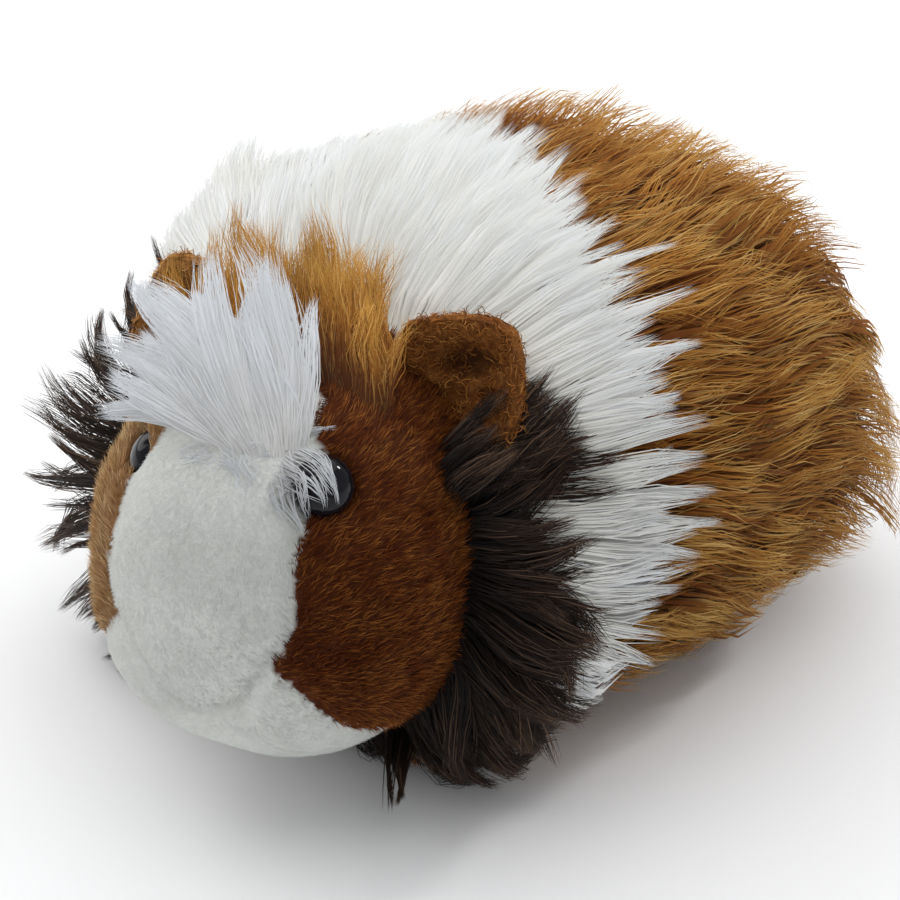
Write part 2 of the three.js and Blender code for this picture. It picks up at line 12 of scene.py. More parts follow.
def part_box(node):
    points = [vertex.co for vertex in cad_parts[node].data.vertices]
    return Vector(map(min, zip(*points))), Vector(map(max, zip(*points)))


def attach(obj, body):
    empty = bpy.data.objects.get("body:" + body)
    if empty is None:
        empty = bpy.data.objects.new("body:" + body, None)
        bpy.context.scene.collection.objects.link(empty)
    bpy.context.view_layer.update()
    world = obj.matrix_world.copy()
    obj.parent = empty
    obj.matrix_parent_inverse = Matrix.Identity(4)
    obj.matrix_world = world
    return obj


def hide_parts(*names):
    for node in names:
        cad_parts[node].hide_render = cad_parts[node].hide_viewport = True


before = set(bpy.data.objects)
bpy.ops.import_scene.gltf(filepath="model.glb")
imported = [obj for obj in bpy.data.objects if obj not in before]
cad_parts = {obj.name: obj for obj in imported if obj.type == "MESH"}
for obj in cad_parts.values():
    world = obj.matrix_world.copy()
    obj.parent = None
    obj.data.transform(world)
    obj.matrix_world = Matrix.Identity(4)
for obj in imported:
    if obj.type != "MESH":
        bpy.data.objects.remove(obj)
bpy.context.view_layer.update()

DEG = math.pi / 180.0

# ------------------------------------------------------------------ placing
# The belly panel's box is centred on (0, 11) in the working axes.
_lo, _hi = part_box("belly")
ORG = np.array([(_lo[0] + _hi[0]) * 500.0, (_lo[1] + _hi[1]) * 500.0 - 11.0, 0.0])


def to_frame(p):
    return (np.asarray(p, dtype=float) + ORG) * 0.001


def box_mid(node):
    lo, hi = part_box(node)
    return (np.array(lo) + np.array(hi)) * 500.0 - ORG


# ------------------------------------------------------------------- camera
AZ, EL, DIST, TARGET = 42.0, 32.0, 760.0, np.array([-5.0, 0.0, 46.5])
BACK = np.array([math.sin(AZ * DEG) * math.cos(EL * DEG), -math.cos(AZ * DEG) * math.cos(EL * DEG), math.sin(EL * DEG)])
cam_data = bpy.data.cameras.new("camera")
cam_data.lens = 134.4
cam_data.sensor_width = 36.0
cam_data.clip_start, cam_data.clip_end = 0.02, 20.0
camera = bpy.data.objects.new("camera", cam_data)
bpy.context.scene.collection.objects.link(camera)
camera.location = Vector(to_frame(TARGET + BACK * DIST))
camera.rotation_euler = Vector(BACK).to_track_quat("Z", "Y").to_euler()
bpy.context.scene.camera = camera

# ------------------------------------------------------------------ helpers


def mix(a, b, t):
    return a + (b - a) * t


def smooth(a, b, t):
    k = np.clip((t - a) / (b - a), 0.0, 1.0)
    return k * k * (3.0 - 2.0 * k)


def unit(v):
    return v / np.maximum(np.linalg.norm(v, axis=-1, keepdims=True), 1e-9)


def dot(a, b):
    return (a * b).sum(-1, keepdims=True)


def smin(a, b, k):
    h = np.clip(0.5 + 0.5 * (b - a) / k, 0.0, 1.0)
    return mix(b, a, h) - k * h * (1.0 - h)


def smax(a, b, k):
    return -smin(-a, -b, k)


def linear(r, g, b):
    def one(c):
        c = c / 255.0
        return c / 12.92 if c <= 0.04045 else ((c + 0.055) / 1.055) ** 2.4
    return (one(r), one(g), one(b), 1.0)


# ----------------------------------------------------------------- the body
# The same named sizes as the solids; `depth` is the depth of coat left outside.
TR = dict(c=56.0, a=76.0, b=60.0, front=64.0, rear=98.0, top=2.6, low_front=2.15, low_rear=2.9,
          front_top=2.1, front_low=3.0, rear_top=2.5, rear_low=3.4)
COLLAR = dict(c=np.array([0.0, -40.0, 45.0]), s=np.array([68.0, 30.0, 49.0]), e=2.3)
HEAD = dict(c=np.array([5.0, -58.0, 59.0]), a=42.0, f=48.0, h=44.0, e1=2.35, e2=2.25, yaw=16.0)
LAT = np.array([math.cos(HEAD["yaw"] * DEG), math.sin(HEAD["yaw"] * DEG), 0.0])
FWD = np.array([math.sin(HEAD["yaw"] * DEG), -math.cos(HEAD["yaw"] * DEG), 0.0])
UP = np.array([0.0, 0.0, 1.0])
EYES = {
    "left": dict(dir=(0.43, 0.57, 0.66), face=(0.60, 0.58, 0.55), sink=1.2),
    "right": dict(dir=(-0.56, 0.57, 0.585), face=(-0.80, 0.46, 0.38), sink=3.6),
}
EYE_R, EYE_DEPTH = 6.2, 4.6
EAR = dict(l=25.5, v=-8.0, w=33.0, width=28.5, height=27.0, thick=5.4, cup=4.6)
BUMPS = [  # direction l, v, w, height, spread
    (0.00, 0.80, -0.60, 2.6, 0.42), (0.46, 0.62, -0.62, 1.8, 0.34), (-0.46, 0.62, -0.62, 1.8, 0.34),
    (0.86, 0.05, -0.32, 1.4, 0.45), (-0.86, 0.05, -0.32, 1.4, 0.45),
    (*EYES["left"]["dir"], -1.6, 0.18), (*EYES["right"]["dir"], -1.6, 0.18), (0.00, 0.35, -0.94, -2.2, 0.16),
]


def from_head(l, v, w):
    l, v, w = (np.asarray(k, dtype=float)[..., None] for k in (l, v, w))
    return HEAD["c"] + LAT * l + FWD * v + UP * w


def dir_head(l, v, w):
    return unit(LAT * l + FWD * v + UP * w)


def ear_frame(side):
    """Middle, rise and facing of an ear, and its sideways direction."""
    up = dir_head(side * 0.74, -0.20, 0.62)
    face = dir_head(side * 0.30, 0.88, 0.42)
    face = unit(face - up * (face @ up))
    droop = 2.4 if side < 0 else 0.0       # the right ear sits a little lower
    middle = from_head(side * (EAR["l"] - droop), EAR["v"], EAR["w"] - droop) + up * EAR["height"] * 0.36
    return middle, up, face, np.cross(up, face)


def to_head(p):
    q = p - HEAD["c"]
    return np.stack([q @ LAT, q @ FWD, q[..., 2]], -1)


def head_radius(d):
    h = HEAD
    s = (np.abs(d[..., 0] / h["a"]) ** h["e1"] + np.abs(d[..., 2] / h["h"]) ** h["e1"] + 1e-12) ** (h["e2"] / h["e1"]) \
        + np.abs(d[..., 1] / h["f"]) ** h["e2"]
    r = s ** (-1.0 / h["e2"])
    for l, v, w, amp, spread in BUMPS:
        n = math.sqrt(l * l + v * v + w * w)
        d2 = (d[..., 0] - l / n) ** 2 + (d[..., 1] - v / n) ** 2 + (d[..., 2] - w / n) ** 2
        r = r + amp * np.exp(-d2 / (2 * spread * spread))
    return r


def head_dist(p, depth):
    q = to_head(p)
    r = np.linalg.norm(q, axis=-1) + 1e-6
    return r - (head_radius(q / r[..., None]) - depth)


def trunk_dist(p, depth):
    t = TR
    x, y, z = p[..., 0], p[..., 1], p[..., 2] - t["c"]
    ax, az = np.abs(x) / (t["a"] - depth) + 1e-6, np.abs(z) / (t["b"] - depth) + 1e-6
    e1 = np.where(z < 0, mix(t["low_front"], t["low_rear"], smooth(-20.0, 60.0, y)), t["top"])
    k = (ax ** e1 + az ** e1) ** (1.0 / e1)
    sn = np.sign(z) * np.minimum(1.0, az / k) ** (e1 / 2.0)
    high = smooth(-0.5, 0.5, sn)
    e2 = np.where(y < 0, mix(t["front_low"], t["front_top"], high), mix(t["rear_low"], t["rear_top"], high))
    ay = np.abs(y) / np.where(y < 0, t["front"] - depth, t["rear"] - depth) + 1e-6
    s = (k ** e2 + ay ** e2) ** (1.0 / e2)
    r = np.sqrt(x * x + y * y + z * z)
    return r * (1.0 - 1.0 / np.maximum(s, 0.05))


def collar_dist(p, depth):
    q = (p - COLLAR["c"]) / (COLLAR["s"] - depth)
    s = (np.abs(q) ** COLLAR["e"]).sum(-1) ** (1.0 / COLLAR["e"]) + 1e-6
    r = np.linalg.norm(p - COLLAR["c"], axis=-1)
    return r * (1.0 - 1.0 / np.maximum(s, 0.05))


def stuffing(p):
    """Slow, low lumps of the filling."""
    x, y, z = p[..., 0], p[..., 1], p[..., 2]
    return 0.8 * np.sin(x / 13.0 + 1.1) * np.sin(y / 17.0 - 0.6) * np.sin(z / 15.0 + 0.4) + 0.5 * np.sin(y / 9.0 + x / 21.0 + 0.8)


PILE = 9.5      # depth of the long coat over the skin
NAP = 2.3       # depth of the short coat


def body_field(p, depth=PILE):
    """Trunk and collar together."""
    return smin(trunk_dist(p, depth), collar_dist(p, depth), 12.0) + stuffing(p)


FEET = {"front_left": (25, -38, 17, 24, 9), "front_right": (-25, -38, 17, 24, 9),
        "rear_left": (34, 46, 19, 34, 9), "rear_right": (-34, 46, 19, 34, 9)}


def feet_dist(p, depth):
    f = np.full(p.shape[:-1], 1e3)
    for x, y, w, l, h in FEET.values():
        q = (p - np.array([x, y, h * 0.5])) / np.array([w / 2 - depth, l / 2 - depth, h / 2 - depth * 0.4])
        s = (np.abs(q) ** 2.4).sum(-1) ** (1 / 2.4) + 1e-6
        r = np.linalg.norm(p - np.array([x, y, h * 0.5]), axis=-1)
        f = np.minimum(f, r * (1 - 1 / np.maximum(s, 0.05)))
    return f


def eye_frame(side):
    e = EYES[side]
    d = np.array(e["dir"]) / np.linalg.norm(e["dir"])
    r = float(head_radius(d)) - e["sink"]
    return from_head(*(d * r)), dir_head(*e["face"])


def skin_field(p):
    f = smin(body_field(p), head_dist(p, NAP), 3.0)
    f = smin(f, feet_dist(p, 1.0), 2.0)
    for side in EYES:
        c, n = eye_frame(side)
        f = smax(f, (6.5 if side == "left" else 4.4) - np.linalg.norm(p - (c + n * 0.6), axis=-1), 2.0)
    return smax(f, 1.6 - p[..., 2], 3.0)


def gradient(field, p, e=0.5):
    g = np.zeros_like(p)
    for k in ((1, -1, -1), (-1, -1, 1), (-1, 1, -1), (1, 1, 1)):
        k = np.array(k, dtype=float)
        g = g + k * field(p + k * e)[..., None]
    return unit(g)


def surface_nets(field, lo, hi, h):
    """A closed quad mesh of the level 0 of a field."""
    n = [int(math.ceil((b - a) / h)) + 1 for a, b in zip(lo, hi)]
    axes = [lo[i] + h * np.arange(n[i]) for i in range(3)]
    F = np.empty(n)
    for i, x in enumerate(axes[0]):
        g = np.stack(np.meshgrid([x], axes[1], axes[2], indexing="ij"), -1)[0]
        F[i] = field(g)
    inside = F < 0
    sl = (slice(0, -1), slice(1, None))
    count = sum(inside[sl[a], sl[b], sl[c]].astype(np.int8) for a in (0, 1) for b in (0, 1) for c in (0, 1))
    active = (count > 0) & (count < 8)
    index = np.full(active.shape, -1, dtype=np.int64)
    index[active] = np.arange(active.sum())
    pos, hits = np.zeros(active.shape + (3,)), np.zeros(active.shape)
    for axis in range(3):
        for u in (0, 1):
            for v in (0, 1):
                a, b = [u, v], [u, v]
                a.insert(axis, 0)
                b.insert(axis, 1)
                fa, fb = F[sl[a[0]], sl[a[1]], sl[a[2]]], F[sl[b[0]], sl[b[1]], sl[b[2]]]
                cross = (fa < 0) != (fb < 0)
                t = np.where(cross, fa / np.where(cross, fa - fb, 1.0), 0.0)
                for i in range(3):
                    pos[..., i] += np.where(cross, a[i] + (t if i == axis else 0.0), 0.0)
                hits += cross
    where = np.argwhere(active)
    verts = np.array(lo) + h * (where + pos[active] / hits[active][:, None])
    quads = []
    for axis in range(3):
        a, b = [slice(None)] * 3, [slice(None)] * 3
        a[axis], b[axis] = slice(0, -1), slice(1, None)
        ia, ib = inside[tuple(a)], inside[tuple(b)]
        edge = np.argwhere(ia != ib)
        o1, o2 = [(1, 2), (2, 0), (0, 1)][axis]
        edge = edge[(edge[:, o1] > 0) & (edge[:, o2] > 0) & (edge[:, o1] < n[o1] - 1) & (edge[:, o2] < n[o2] - 1)]
        e1, e2 = np.zeros(3, int), np.zeros(3, int)
        e1[o1], e2[o2] = 1, 1
        q = np.stack([index[tuple((edge - e1 - e2).T)], index[tuple((edge - e2).T)], index[tuple(edge.T)],
                      index[tuple((edge - e1).T)]], 1)
        flip = ~ia[tuple(edge.T)]
        q[flip] = q[flip][:, ::-1]
        quads.append(q)
    return verts, np.concatenate(quads)


# ------------------------------------------------------------------ markings
# Panels of the face, as outlines in the head's own (l, w), seen from in front.
MUZZLE_EDGE = [(9, 60), (12, 38), (17, 33), (18.5, 24), (20, 6), (18, 0), (16, -3), (8, -16), (0, -22)]
CHIN_EDGE = [(0, -22), (8, -16), (16, -3), (20, -9), (25, -17), (29, -25), (31, -34), (32, -70)]


def far_half(half):
    """The same edge on the toy's right side, where the white face is a little wider."""
    return [(p + 4.5 * float(smooth(34.0, 20.0, q)) * float(smooth(6.0, 15.0, p)), q) for p, q in half]


def both_sides(half):
    return half + [(-p, q) for p, q in reversed(far_half(half)) if p > 0]


def inside_outline(u, v, outline):
    """Even-odd test of points against a closed outline."""
    c = np.zeros(u.shape, dtype=bool)
    for i in range(len(outline)):
        (x0, y0), (x1, y1) = outline[i - 1], outline[i]
        if y0 == y1:
            continue
        hit = ((y0 > v) != (y1 > v)) & (u < (x1 - x0) * (v - y0) / (y1 - y0) + x0)
        c ^= hit
    return c


def line_distance(u, v, line):
    best = np.full(u.shape, 1e9)
    for (x0, y0), (x1, y1) in zip(line[:-1], line[1:]):
        dx, dy = x1 - x0, y1 - y0
        t = np.clip(((u - x0) * dx + (v - y0) * dy) / (dx * dx + dy * dy), 0, 1)
        best = np.minimum(best, np.hypot(u - x0 - t * dx, v - y0 - t * dy))
    return best


def ripple(p, scale=1.0):
    """A small steady wander for the edges of the markings."""
    return scale * (np.sin(p[..., 1] / 3.1 + p[..., 2] / 4.3) + 0.7 * np.sin(p[..., 0] / 2.3 - p[..., 2] / 3.7 + 1.3)
                    + 0.5 * np.sin(p[..., 0] / 1.3 + p[..., 1] / 1.7 + 0.5))


def lerp_table(x, table):
    xs, ys = zip(*table)
    return np.interp(x, xs, ys)


# Where the roots of each long panel end, as y at a height z.
RUFF_ROOT = [(0, -48), (30, -47), (60, -46), (78, -42), (96, -38), (103, -46)]
WHITE_ROOT = [(0, -52), (28, -51), (36, -43), (50, -42), (62, -37), (72, -33), (86, -29), (98, -20), (106, -6), (113, 6), (118, 10)]
GOLD, WHITE, DARK, BROWN, CREAM, LIT_BROWN = range(6)
EAR_FOOT = np.array([44.0, -43.0, 82.5])   # dark pile stands up before the left ear


def white_end(x, z):
    """How far back the white roots go: further on the toy's right side."""
    return lerp_table(z, WHITE_ROOT) - 0.26 * (x - 5.0) * smooth(92.0, 106.0, z) \
        + 12.0 * smooth(10.0, -30.0, x) * smooth(106.0, 90.0, z) + 9.0 * smooth(-8.0, -30.0, x) * smooth(82.0, 93.0, z)


def region(p):
    """The panel a point of the skin belongs to."""
    q = to_head(p)
    on_head = head_dist(p, NAP) < body_field(p) - 0.5
    y, z = p[..., 1] + ripple(p, 0.8), p[..., 2]
    x = p[..., 0]
    r = np.where(y < lerp_table(z, RUFF_ROOT), DARK, np.where(y < white_end(x, z), WHITE, GOLD))
    r = np.where((z > 82) & (x > -52.0) & (x < 44.0) & (r == DARK), WHITE, r)
    for side in (1, -1):                   # brown round the roots of the ears
        middle, up, _, _ = ear_frame(side)
        near_ear = np.linalg.norm(p - (middle - up * 10.0), axis=-1) < 13.0
        r = np.where(near_ear & (r == WHITE), BROWN, r)
    r = np.where(np.linalg.norm(p - EAR_FOOT, axis=-1) < 9.5, DARK, r)
    l, w = q[..., 0] + ripple(p, 0.22), q[..., 2] + ripple(p, 0.2)
    cream = (inside_outline(l, w, both_sides(MUZZLE_EDGE)) & (q[..., 1] > 10)) \
        | (inside_outline(l, w, both_sides(CHIN_EDGE)) & (q[..., 1] > -4))
    # painted light: brown on the head's far side, the toy's right, takes a lighter, lit copy of the brown
    r = np.where(on_head, np.where(cream, CREAM, np.where(l < -17.0, LIT_BROWN, BROWN)), r)
    feet = (feet_dist(p, 1.0) < 1.0) & (z < 12)
    return np.where(feet, BROWN, r)


# --------------------------------------------------------------- mesh maker


def build_mesh(name, verts, faces, smooth_shade=True):
    """faces: a list of int arrays, each (n, 3) or (n, 4)."""
    me = bpy.data.meshes.new(name)
    faces = [f for f in faces if len(f)]
    loops = np.concatenate([f.reshape(-1) for f in faces]).astype(np.int32)
    totals = np.concatenate([np.full(len(f), f.shape[1]) for f in faces]).astype(np.int32)
    starts = (np.cumsum(totals) - totals).astype(np.int32)
    me.vertices.add(len(verts))
    me.vertices.foreach_set("co", np.ascontiguousarray(to_frame(verts), dtype=np.float32).reshape(-1))
    me.loops.add(len(loops))
    me.loops.foreach_set("vertex_index", loops)
    me.polygons.add(len(totals))
    me.polygons.foreach_set("loop_start", starts)
    try:
        me.polygons.foreach_set("loop_total", totals)
    except (AttributeError, TypeError, RuntimeError):
        pass
    me.update(calc_edges=True)
    me.validate()
    me.polygons.foreach_set("use_smooth", np.full(len(totals), smooth_shade, dtype=bool))
    ob = bpy.data.objects.new(name, me)
    bpy.context.scene.collection.objects.link(ob)
    return ob, loops


def set_uv(ob, loops, uv):
    layer = ob.data.uv_layers.new(name="OFBake")
    layer.data.foreach_set("uv", np.ascontiguousarray(uv[loops], dtype=np.float32).reshape(-1))


def set_vector(ob, name, values):
    a = ob.data.attributes.new(name, "FLOAT_VECTOR", "POINT")
    a.data.foreach_set("vector", np.ascontiguousarray(values, dtype=np.float32).reshape(-1))


# ----------------------------------------------------------------- the skin
def make_skin():
    v, q = surface_nets(skin_field, (-72.0, -112.0, -3.0), (72.0, 96.0, 112.0), 1.7)
    for _ in range(2):                      # settle on the field, then relax
        total, n = np.zeros_like(v), np.zeros(len(v))
        for a in range(4):
            b = (a + 1) % 4
            np.add.at(total, q[:, a], v[q[:, b]])
            np.add.at(total, q[:, b], v[q[:, a]])
            np.add.at(n, q[:, a], 1)
            np.add.at(n, q[:, b], 1)
        v = mix(v, total / n[:, None], 0.6)
        v = v - gradient(skin_field, v) * np.clip(skin_field(v), -1.0, 1.0)[:, None]
    normal = gradient(skin_field, v)
    # sewn seams of the face, a tuck behind each eye
    h = to_head(v)
    face = smooth(2.0, 12.0, h[:, 1]) * smooth(1.0, 4.0, body_field(v))
    notch = np.linalg.norm(h - np.array([1.0, 43.0, -27.0]), axis=1)
    v = v - normal * (3.6 * np.exp(-(notch / 6.5) ** 2))[:, None]
    for side in (1, -1):
        seam = line_distance(h[:, 0], h[:, 2], [(side * a, b) for a, b in (MUZZLE_EDGE if side > 0 else far_half(MUZZLE_EDGE))])
        under = smooth(-10.0, -18.0, h[:, 2])
        v = v - normal * ((0.9 + 1.5 * under) * np.exp(-(seam / (1.5 + 1.0 * under)) ** 2) * face)[:, None]
        seam = line_distance(h[:, 0], h[:, 2], [(side * a, b) for a, b in (CHIN_EDGE if side > 0 else far_half(CHIN_EDGE))[2:]])
        v = v - normal * (0.8 * np.exp(-(seam / 1.6) ** 2) * face)[:, None]
        e = EYES["left" if side > 0 else "right"]["dir"]
        n = math.sqrt(sum(k * k for k in e))
        tuck = line_distance(h[:, 1], h[:, 2], [(e[1] / n * 44 - 2, e[2] / n * 44 - 4), (8, 18), (-10, 12)])
        v = v - normal * (1.5 * np.exp(-(tuck / 2.6) ** 2) * (h[:, 0] * side > 18) * smooth(-12.0, 0.0, h[:, 1]))[:, None]
    return v, q, normal


class Surface:
    """A quad mesh to scatter roots on."""

    def __init__(self, v, q, n):
        self.v, self.q, self.n = v, q, n
        self.t = np.concatenate([q[:, [0, 1, 2]], q[:, [0, 2, 3]]])
        e1, e2 = v[self.t[:, 1]] - v[self.t[:, 0]], v[self.t[:, 2]] - v[self.t[:, 0]]
        self.cum = np.cumsum(np.linalg.norm(np.cross(e1, e2), axis=1) / 2)

    def scatter(self, rng, count, keep):
        """Places and outward directions, spread evenly where keep(points)
        is above a random number."""
        places, normals, have = [], [], 0
        size = max(count * 2, 40000)
        for _ in range(80):
            t = np.searchsorted(self.cum, rng.random(size) * self.cum[-1])
            t = np.minimum(t, len(self.t) - 1)
            a, b = rng.random(len(t)), rng.random(len(t))
            over = a + b > 1
            a[over], b[over] = 1 - a[over], 1 - b[over]
            tri, w = self.t[t], np.stack([1 - a - b, a, b], 1)
            p = (self.v[tri] * w[..., None]).sum(1)
            nn = (self.n[tri] * w[..., None]).sum(1)
            ok = keep(p) > rng.random(len(p))
            places.append(p[ok])
            normals.append(nn[ok])
            have += int(ok.sum())
            if have >= count:
                break
        return np.concatenate(places)[:count], unit(np.concatenate(normals)[:count])


SKIN = Surface(*make_skin())


# ------------------------------------------------------------------- strands
def rotate(f, n, angle):
    return f * np.cos(angle)[:, None] + np.cross(n, f) * np.sin(angle)[:, None]


def march(P, L, K, flow, field, lift, swing):
    """Grow each strand along the flow over the body, at its own lift."""
    out, p, ns = [P], P.copy(), []
    for k in range(K):
        n = gradient(field, p)
        ns.append(n)
        f = flow(p)
        f = unit(f - dot(f, n) * n)
        f = rotate(f, n, swing)
        a = lift((k + 0.5) / K)
        p = p + (f * np.cos(a)[:, None] + n * np.sin(a)[:, None]) * (L / K)[:, None]
        p[:, 2] = np.maximum(p[:, 2], 0.55)
        out.append(p)
    ns.append(gradient(field, p))
    return np.stack(out, 1), np.stack(ns, 1)


def nearest(P, guides):
    kd = KDTree(len(guides))
    for i, g in enumerate(guides):
        kd.insert(g, i)
    kd.balance()
    return np.array([kd.find(p)[1] for p in P])


def locks_of(P, rng, per, rounds=1, dense=None):
    """Divide the roots into even locks: the lock of each, and each lock's middle root."""
    N = len(P)
    p = None if dense is None else dense(P) / dense(P).sum()
    c = P[rng.choice(N, max(4, int(N / per)), replace=False, p=p)]
    near = nearest(P, c)
    for _ in range(rounds):
        total, k = np.zeros_like(c), np.zeros(len(c))
        np.add.at(total, near, P)
        np.add.at(k, near, 1)
        c = np.where(k[:, None] > 0, total / np.maximum(k, 1)[:, None], c)
        near = nearest(P, c)
    return near, nearest(c, P)


def gather(curves, near, mid, rng, strength, power, spread):
    """Draw strands together into pointed locks round their middle strands."""
    N, K1, _ = curves.shape
    G = curves[mid][near]
    t = np.linspace(0, 1, K1)
    s = strength * rng.uniform(0.5, 1.25, len(mid))[near]
    w = np.clip(s[:, None] * t[None, :] ** power, 0, 0.96)[..., None]
    loose = rng.normal(0, spread, (N, 1, 3)) * t[None, :, None]
    return curves * (1 - w) + (G + loose) * w


def wave(curves, rng, amp, turns, group=None):
    """A soft side-to-side crimp, shared within a lock."""
    N, K1, _ = curves.shape
    t = np.linspace(0, 1, K1)
    n = N if group is None else int(group.max()) + 1
    phase, size, freq = rng.random(n) * 2 * np.pi, 0.5 + 0.8 * rng.random(n), turns * (0.75 + 0.5 * rng.random(n))
    if group is not None:
        phase, size, freq = phase[group], size[group], freq[group]
    T = unit(curves[:, -1] - curves[:, 0])
    side = unit(np.cross(T, np.array([0.13, 0.21, 0.97])))
    top = np.cross(side, T)
    env = (t ** 0.8)[None, :] * amp * size[:, None]
    a = env * np.sin(2 * np.pi * freq[:, None] * t[None, :] + phase[:, None])
    b = 0.5 * env * np.cos(2 * np.pi * freq[:, None] * t[None, :] + 1.7 * phase[:, None])
    c = curves + side[:, None, :] * a[..., None] + top[:, None, :] * b[..., None]
    c[:, 0] = curves[:, 0]
    return c


def strand_mesh(name, curves, normal, width, uv0, rand, flat=0.7, profile=None, extra=None, sides=3, shade=0.7, t_max=1.0):
    """Closed, tapered strands as one mesh, each with its own small UV patch."""
    N, K1, _ = curves.shape
    K = K1 - 1
    curves = curves.copy()
    curves[..., 2] = np.maximum(curves[..., 2], 0.5)
    t = np.linspace(0, 1, K1)
    prof = np.interp(t, *(profile or ([0, 0.15, 0.5, 0.8, 1.0], [0.75, 1.0, 0.92, 0.55, 0.0])))
    T = unit(np.gradient(curves, axis=1))
    if normal.ndim == 2:
        normal = np.repeat(normal[:, None, :], K1, 1)
    B = unit(np.cross(T, normal))
    Nn = np.cross(B, T)
    ang = 2 * np.pi * np.arange(sides) / sides + np.pi / 2
    ring = (B[:, :K, None, :] * np.cos(ang)[None, None, :, None]
            + Nn[:, :K, None, :] * (flat * np.sin(ang))[None, None, :, None]) \
        * (width[:, None] * prof[None, :K])[:, :, None, None]
    body = curves[:, :K, None, :] + ring
    verts = np.concatenate([body.reshape(N, K * sides, 3), curves[:, K:K + 1]], 1)
    per = K * sides + 1
    base = (np.arange(N) * per)[:, None]
    quads = []
    for k in range(K - 1):
        for j in range(sides):
            a, b = k * sides + j, k * sides + (j + 1) % sides
            quads.append([a, a + sides, b + sides, b])
    tips = [[(K - 1) * sides + (j + 1) % sides, (K - 1) * sides + j, K * sides] for j in range(sides)]
    root = [list(range(sides))]
    Q = (base[:, :, None] + np.array(quads)[None]).reshape(-1, 4) if quads else np.zeros((0, 4), int)
    R = (base[:, :, None] + np.array(root)[None]).reshape(-1, sides)
    X = (base[:, :, None] + np.array(tips)[None]).reshape(-1, 3)
    ob, loops = build_mesh(name, verts.reshape(-1, 3), [Q, R, X])
    tv = np.concatenate([np.repeat(t[:K], sides), [1.0]])
    sv = np.concatenate([np.tile(np.arange(sides) / (sides - 1.0), K), [0.5]])
    uv = uv0[:, None, :] + np.stack([(sv - 0.5) * 0.003, (tv - 0.5) * 0.003], 1)[None]
    set_uv(ob, loops, np.clip(uv, 0.0005, 0.9995).reshape(-1, 2))
    if shade > 0:                          # shade each strand as part of the coat it lies in
        own = unit(ring)
        vn = unit(own * (1 - shade) + normal[:, :K, None, :] * shade).reshape(N, K * sides, 3)
        vn = np.concatenate([vn, normal[:, K:K + 1]], 1).reshape(-1, 3)
        ob.data.normals_split_custom_set_from_vertices(vn.astype(np.float32))
    # third pile value: the given extra, which carries the painted valley shade, else the place round the strand
    third = sv[None, :].repeat(N, 0) if extra is None else np.repeat(extra[:, None], per, 1)
    pile = np.stack([t_max * tv[None, :].repeat(N, 0), np.repeat(rand[:, None], per, 1), third], -1)
    set_vector(ob, "pile", pile.reshape(-1, 3))
    tris = N * (sides * 2 * (K - 1) + sides + (sides - 2))
    return ob, tris


def body_uv(p):
    """The trunk's own unwrap: round its length, and along it."""
    u = np.arctan2(p[:, 0], p[:, 2] - 50.0) / (2 * np.pi) + 0.5
    v = (p[:, 1] + 72.0) / 168.0
    return np.stack([0.004 + 0.992 * u, 0.004 + 0.992 * np.clip(v, 0, 1)], 1)


def head_uv(p):
    """The head's own unwrap: round the axis of the nose, and back from it."""
    q = to_head(p)
    q = q / np.linalg.norm(q, axis=1, keepdims=True)
    u = np.arctan2(q[:, 0], q[:, 2]) / (2 * np.pi) + 0.5
    v = np.arccos(np.clip(q[:, 1], -1, 1)) / np.pi
    return np.stack([0.004 + 0.992 * u, 0.004 + 0.992 * v], 1)


def stretch(uv):
    """Let a piece's own area of the unwrap fill its square."""
    lo, hi = uv.min(0), uv.max(0)
    return 0.004 + 0.992 * (uv - lo) / np.maximum(hi - lo, 1e-6)


# ----------------------------------------------------------------- materials
def nodes_of(name):
    m = bpy.data.materials.new(name)
    m.use_nodes = True
    nt = m.node_tree
    return m, nt, nt.nodes["Principled BSDF"]


def ramp(nt, fac, stops):
    r = nt.nodes.new("ShaderNodeValToRGB")
    e = r.color_ramp.elements
    while len(e) < len(stops):
        e.new(0.5)
    for k, (pos, col) in zip(e, stops):
        k.position, k.color = pos, col
    nt.links.new(fac, r.inputs["Fac"])
    return r.outputs["Color"]


def noise(nt, scale, detail=3.0, rough=0.55, vector=None):
    n = nt.nodes.new("ShaderNodeTexNoise")
    n.inputs["Scale"].default_value, n.inputs["Detail"].default_value = scale, detail
    n.inputs["Roughness"].default_value = rough
    if vector is None:
        vector = nt.nodes.new("ShaderNodeTexCoord").outputs["Object"]
    nt.links.new(vector, n.inputs["Vector"])
    return n.outputs["Fac"]


def math_node(nt, op, a, b, c=None, clamp=False):
    n = nt.nodes.new("ShaderNodeMath")
    n.operation, n.use_clamp = op, clamp
    for i, v in enumerate((a, b, c)):
        if v is None:
            continue
        if isinstance(v, (int, float)):
            n.inputs[i].default_value = v
        else:
            nt.links.new(v, n.inputs[i])
    return n.outputs[0]


def mix_color(nt, fac, a, b, mode="MIX"):
    n = nt.nodes.new("ShaderNodeMix")
    n.data_type, n.blend_type = "RGBA", mode
    for sock, v in ((n.inputs[0], fac), (n.inputs[6], a), (n.inputs[7], b)):
        if isinstance(v, (int, float, tuple)):
            sock.default_value = v
        else:
            nt.links.new(v, sock)
    return n.outputs[2]


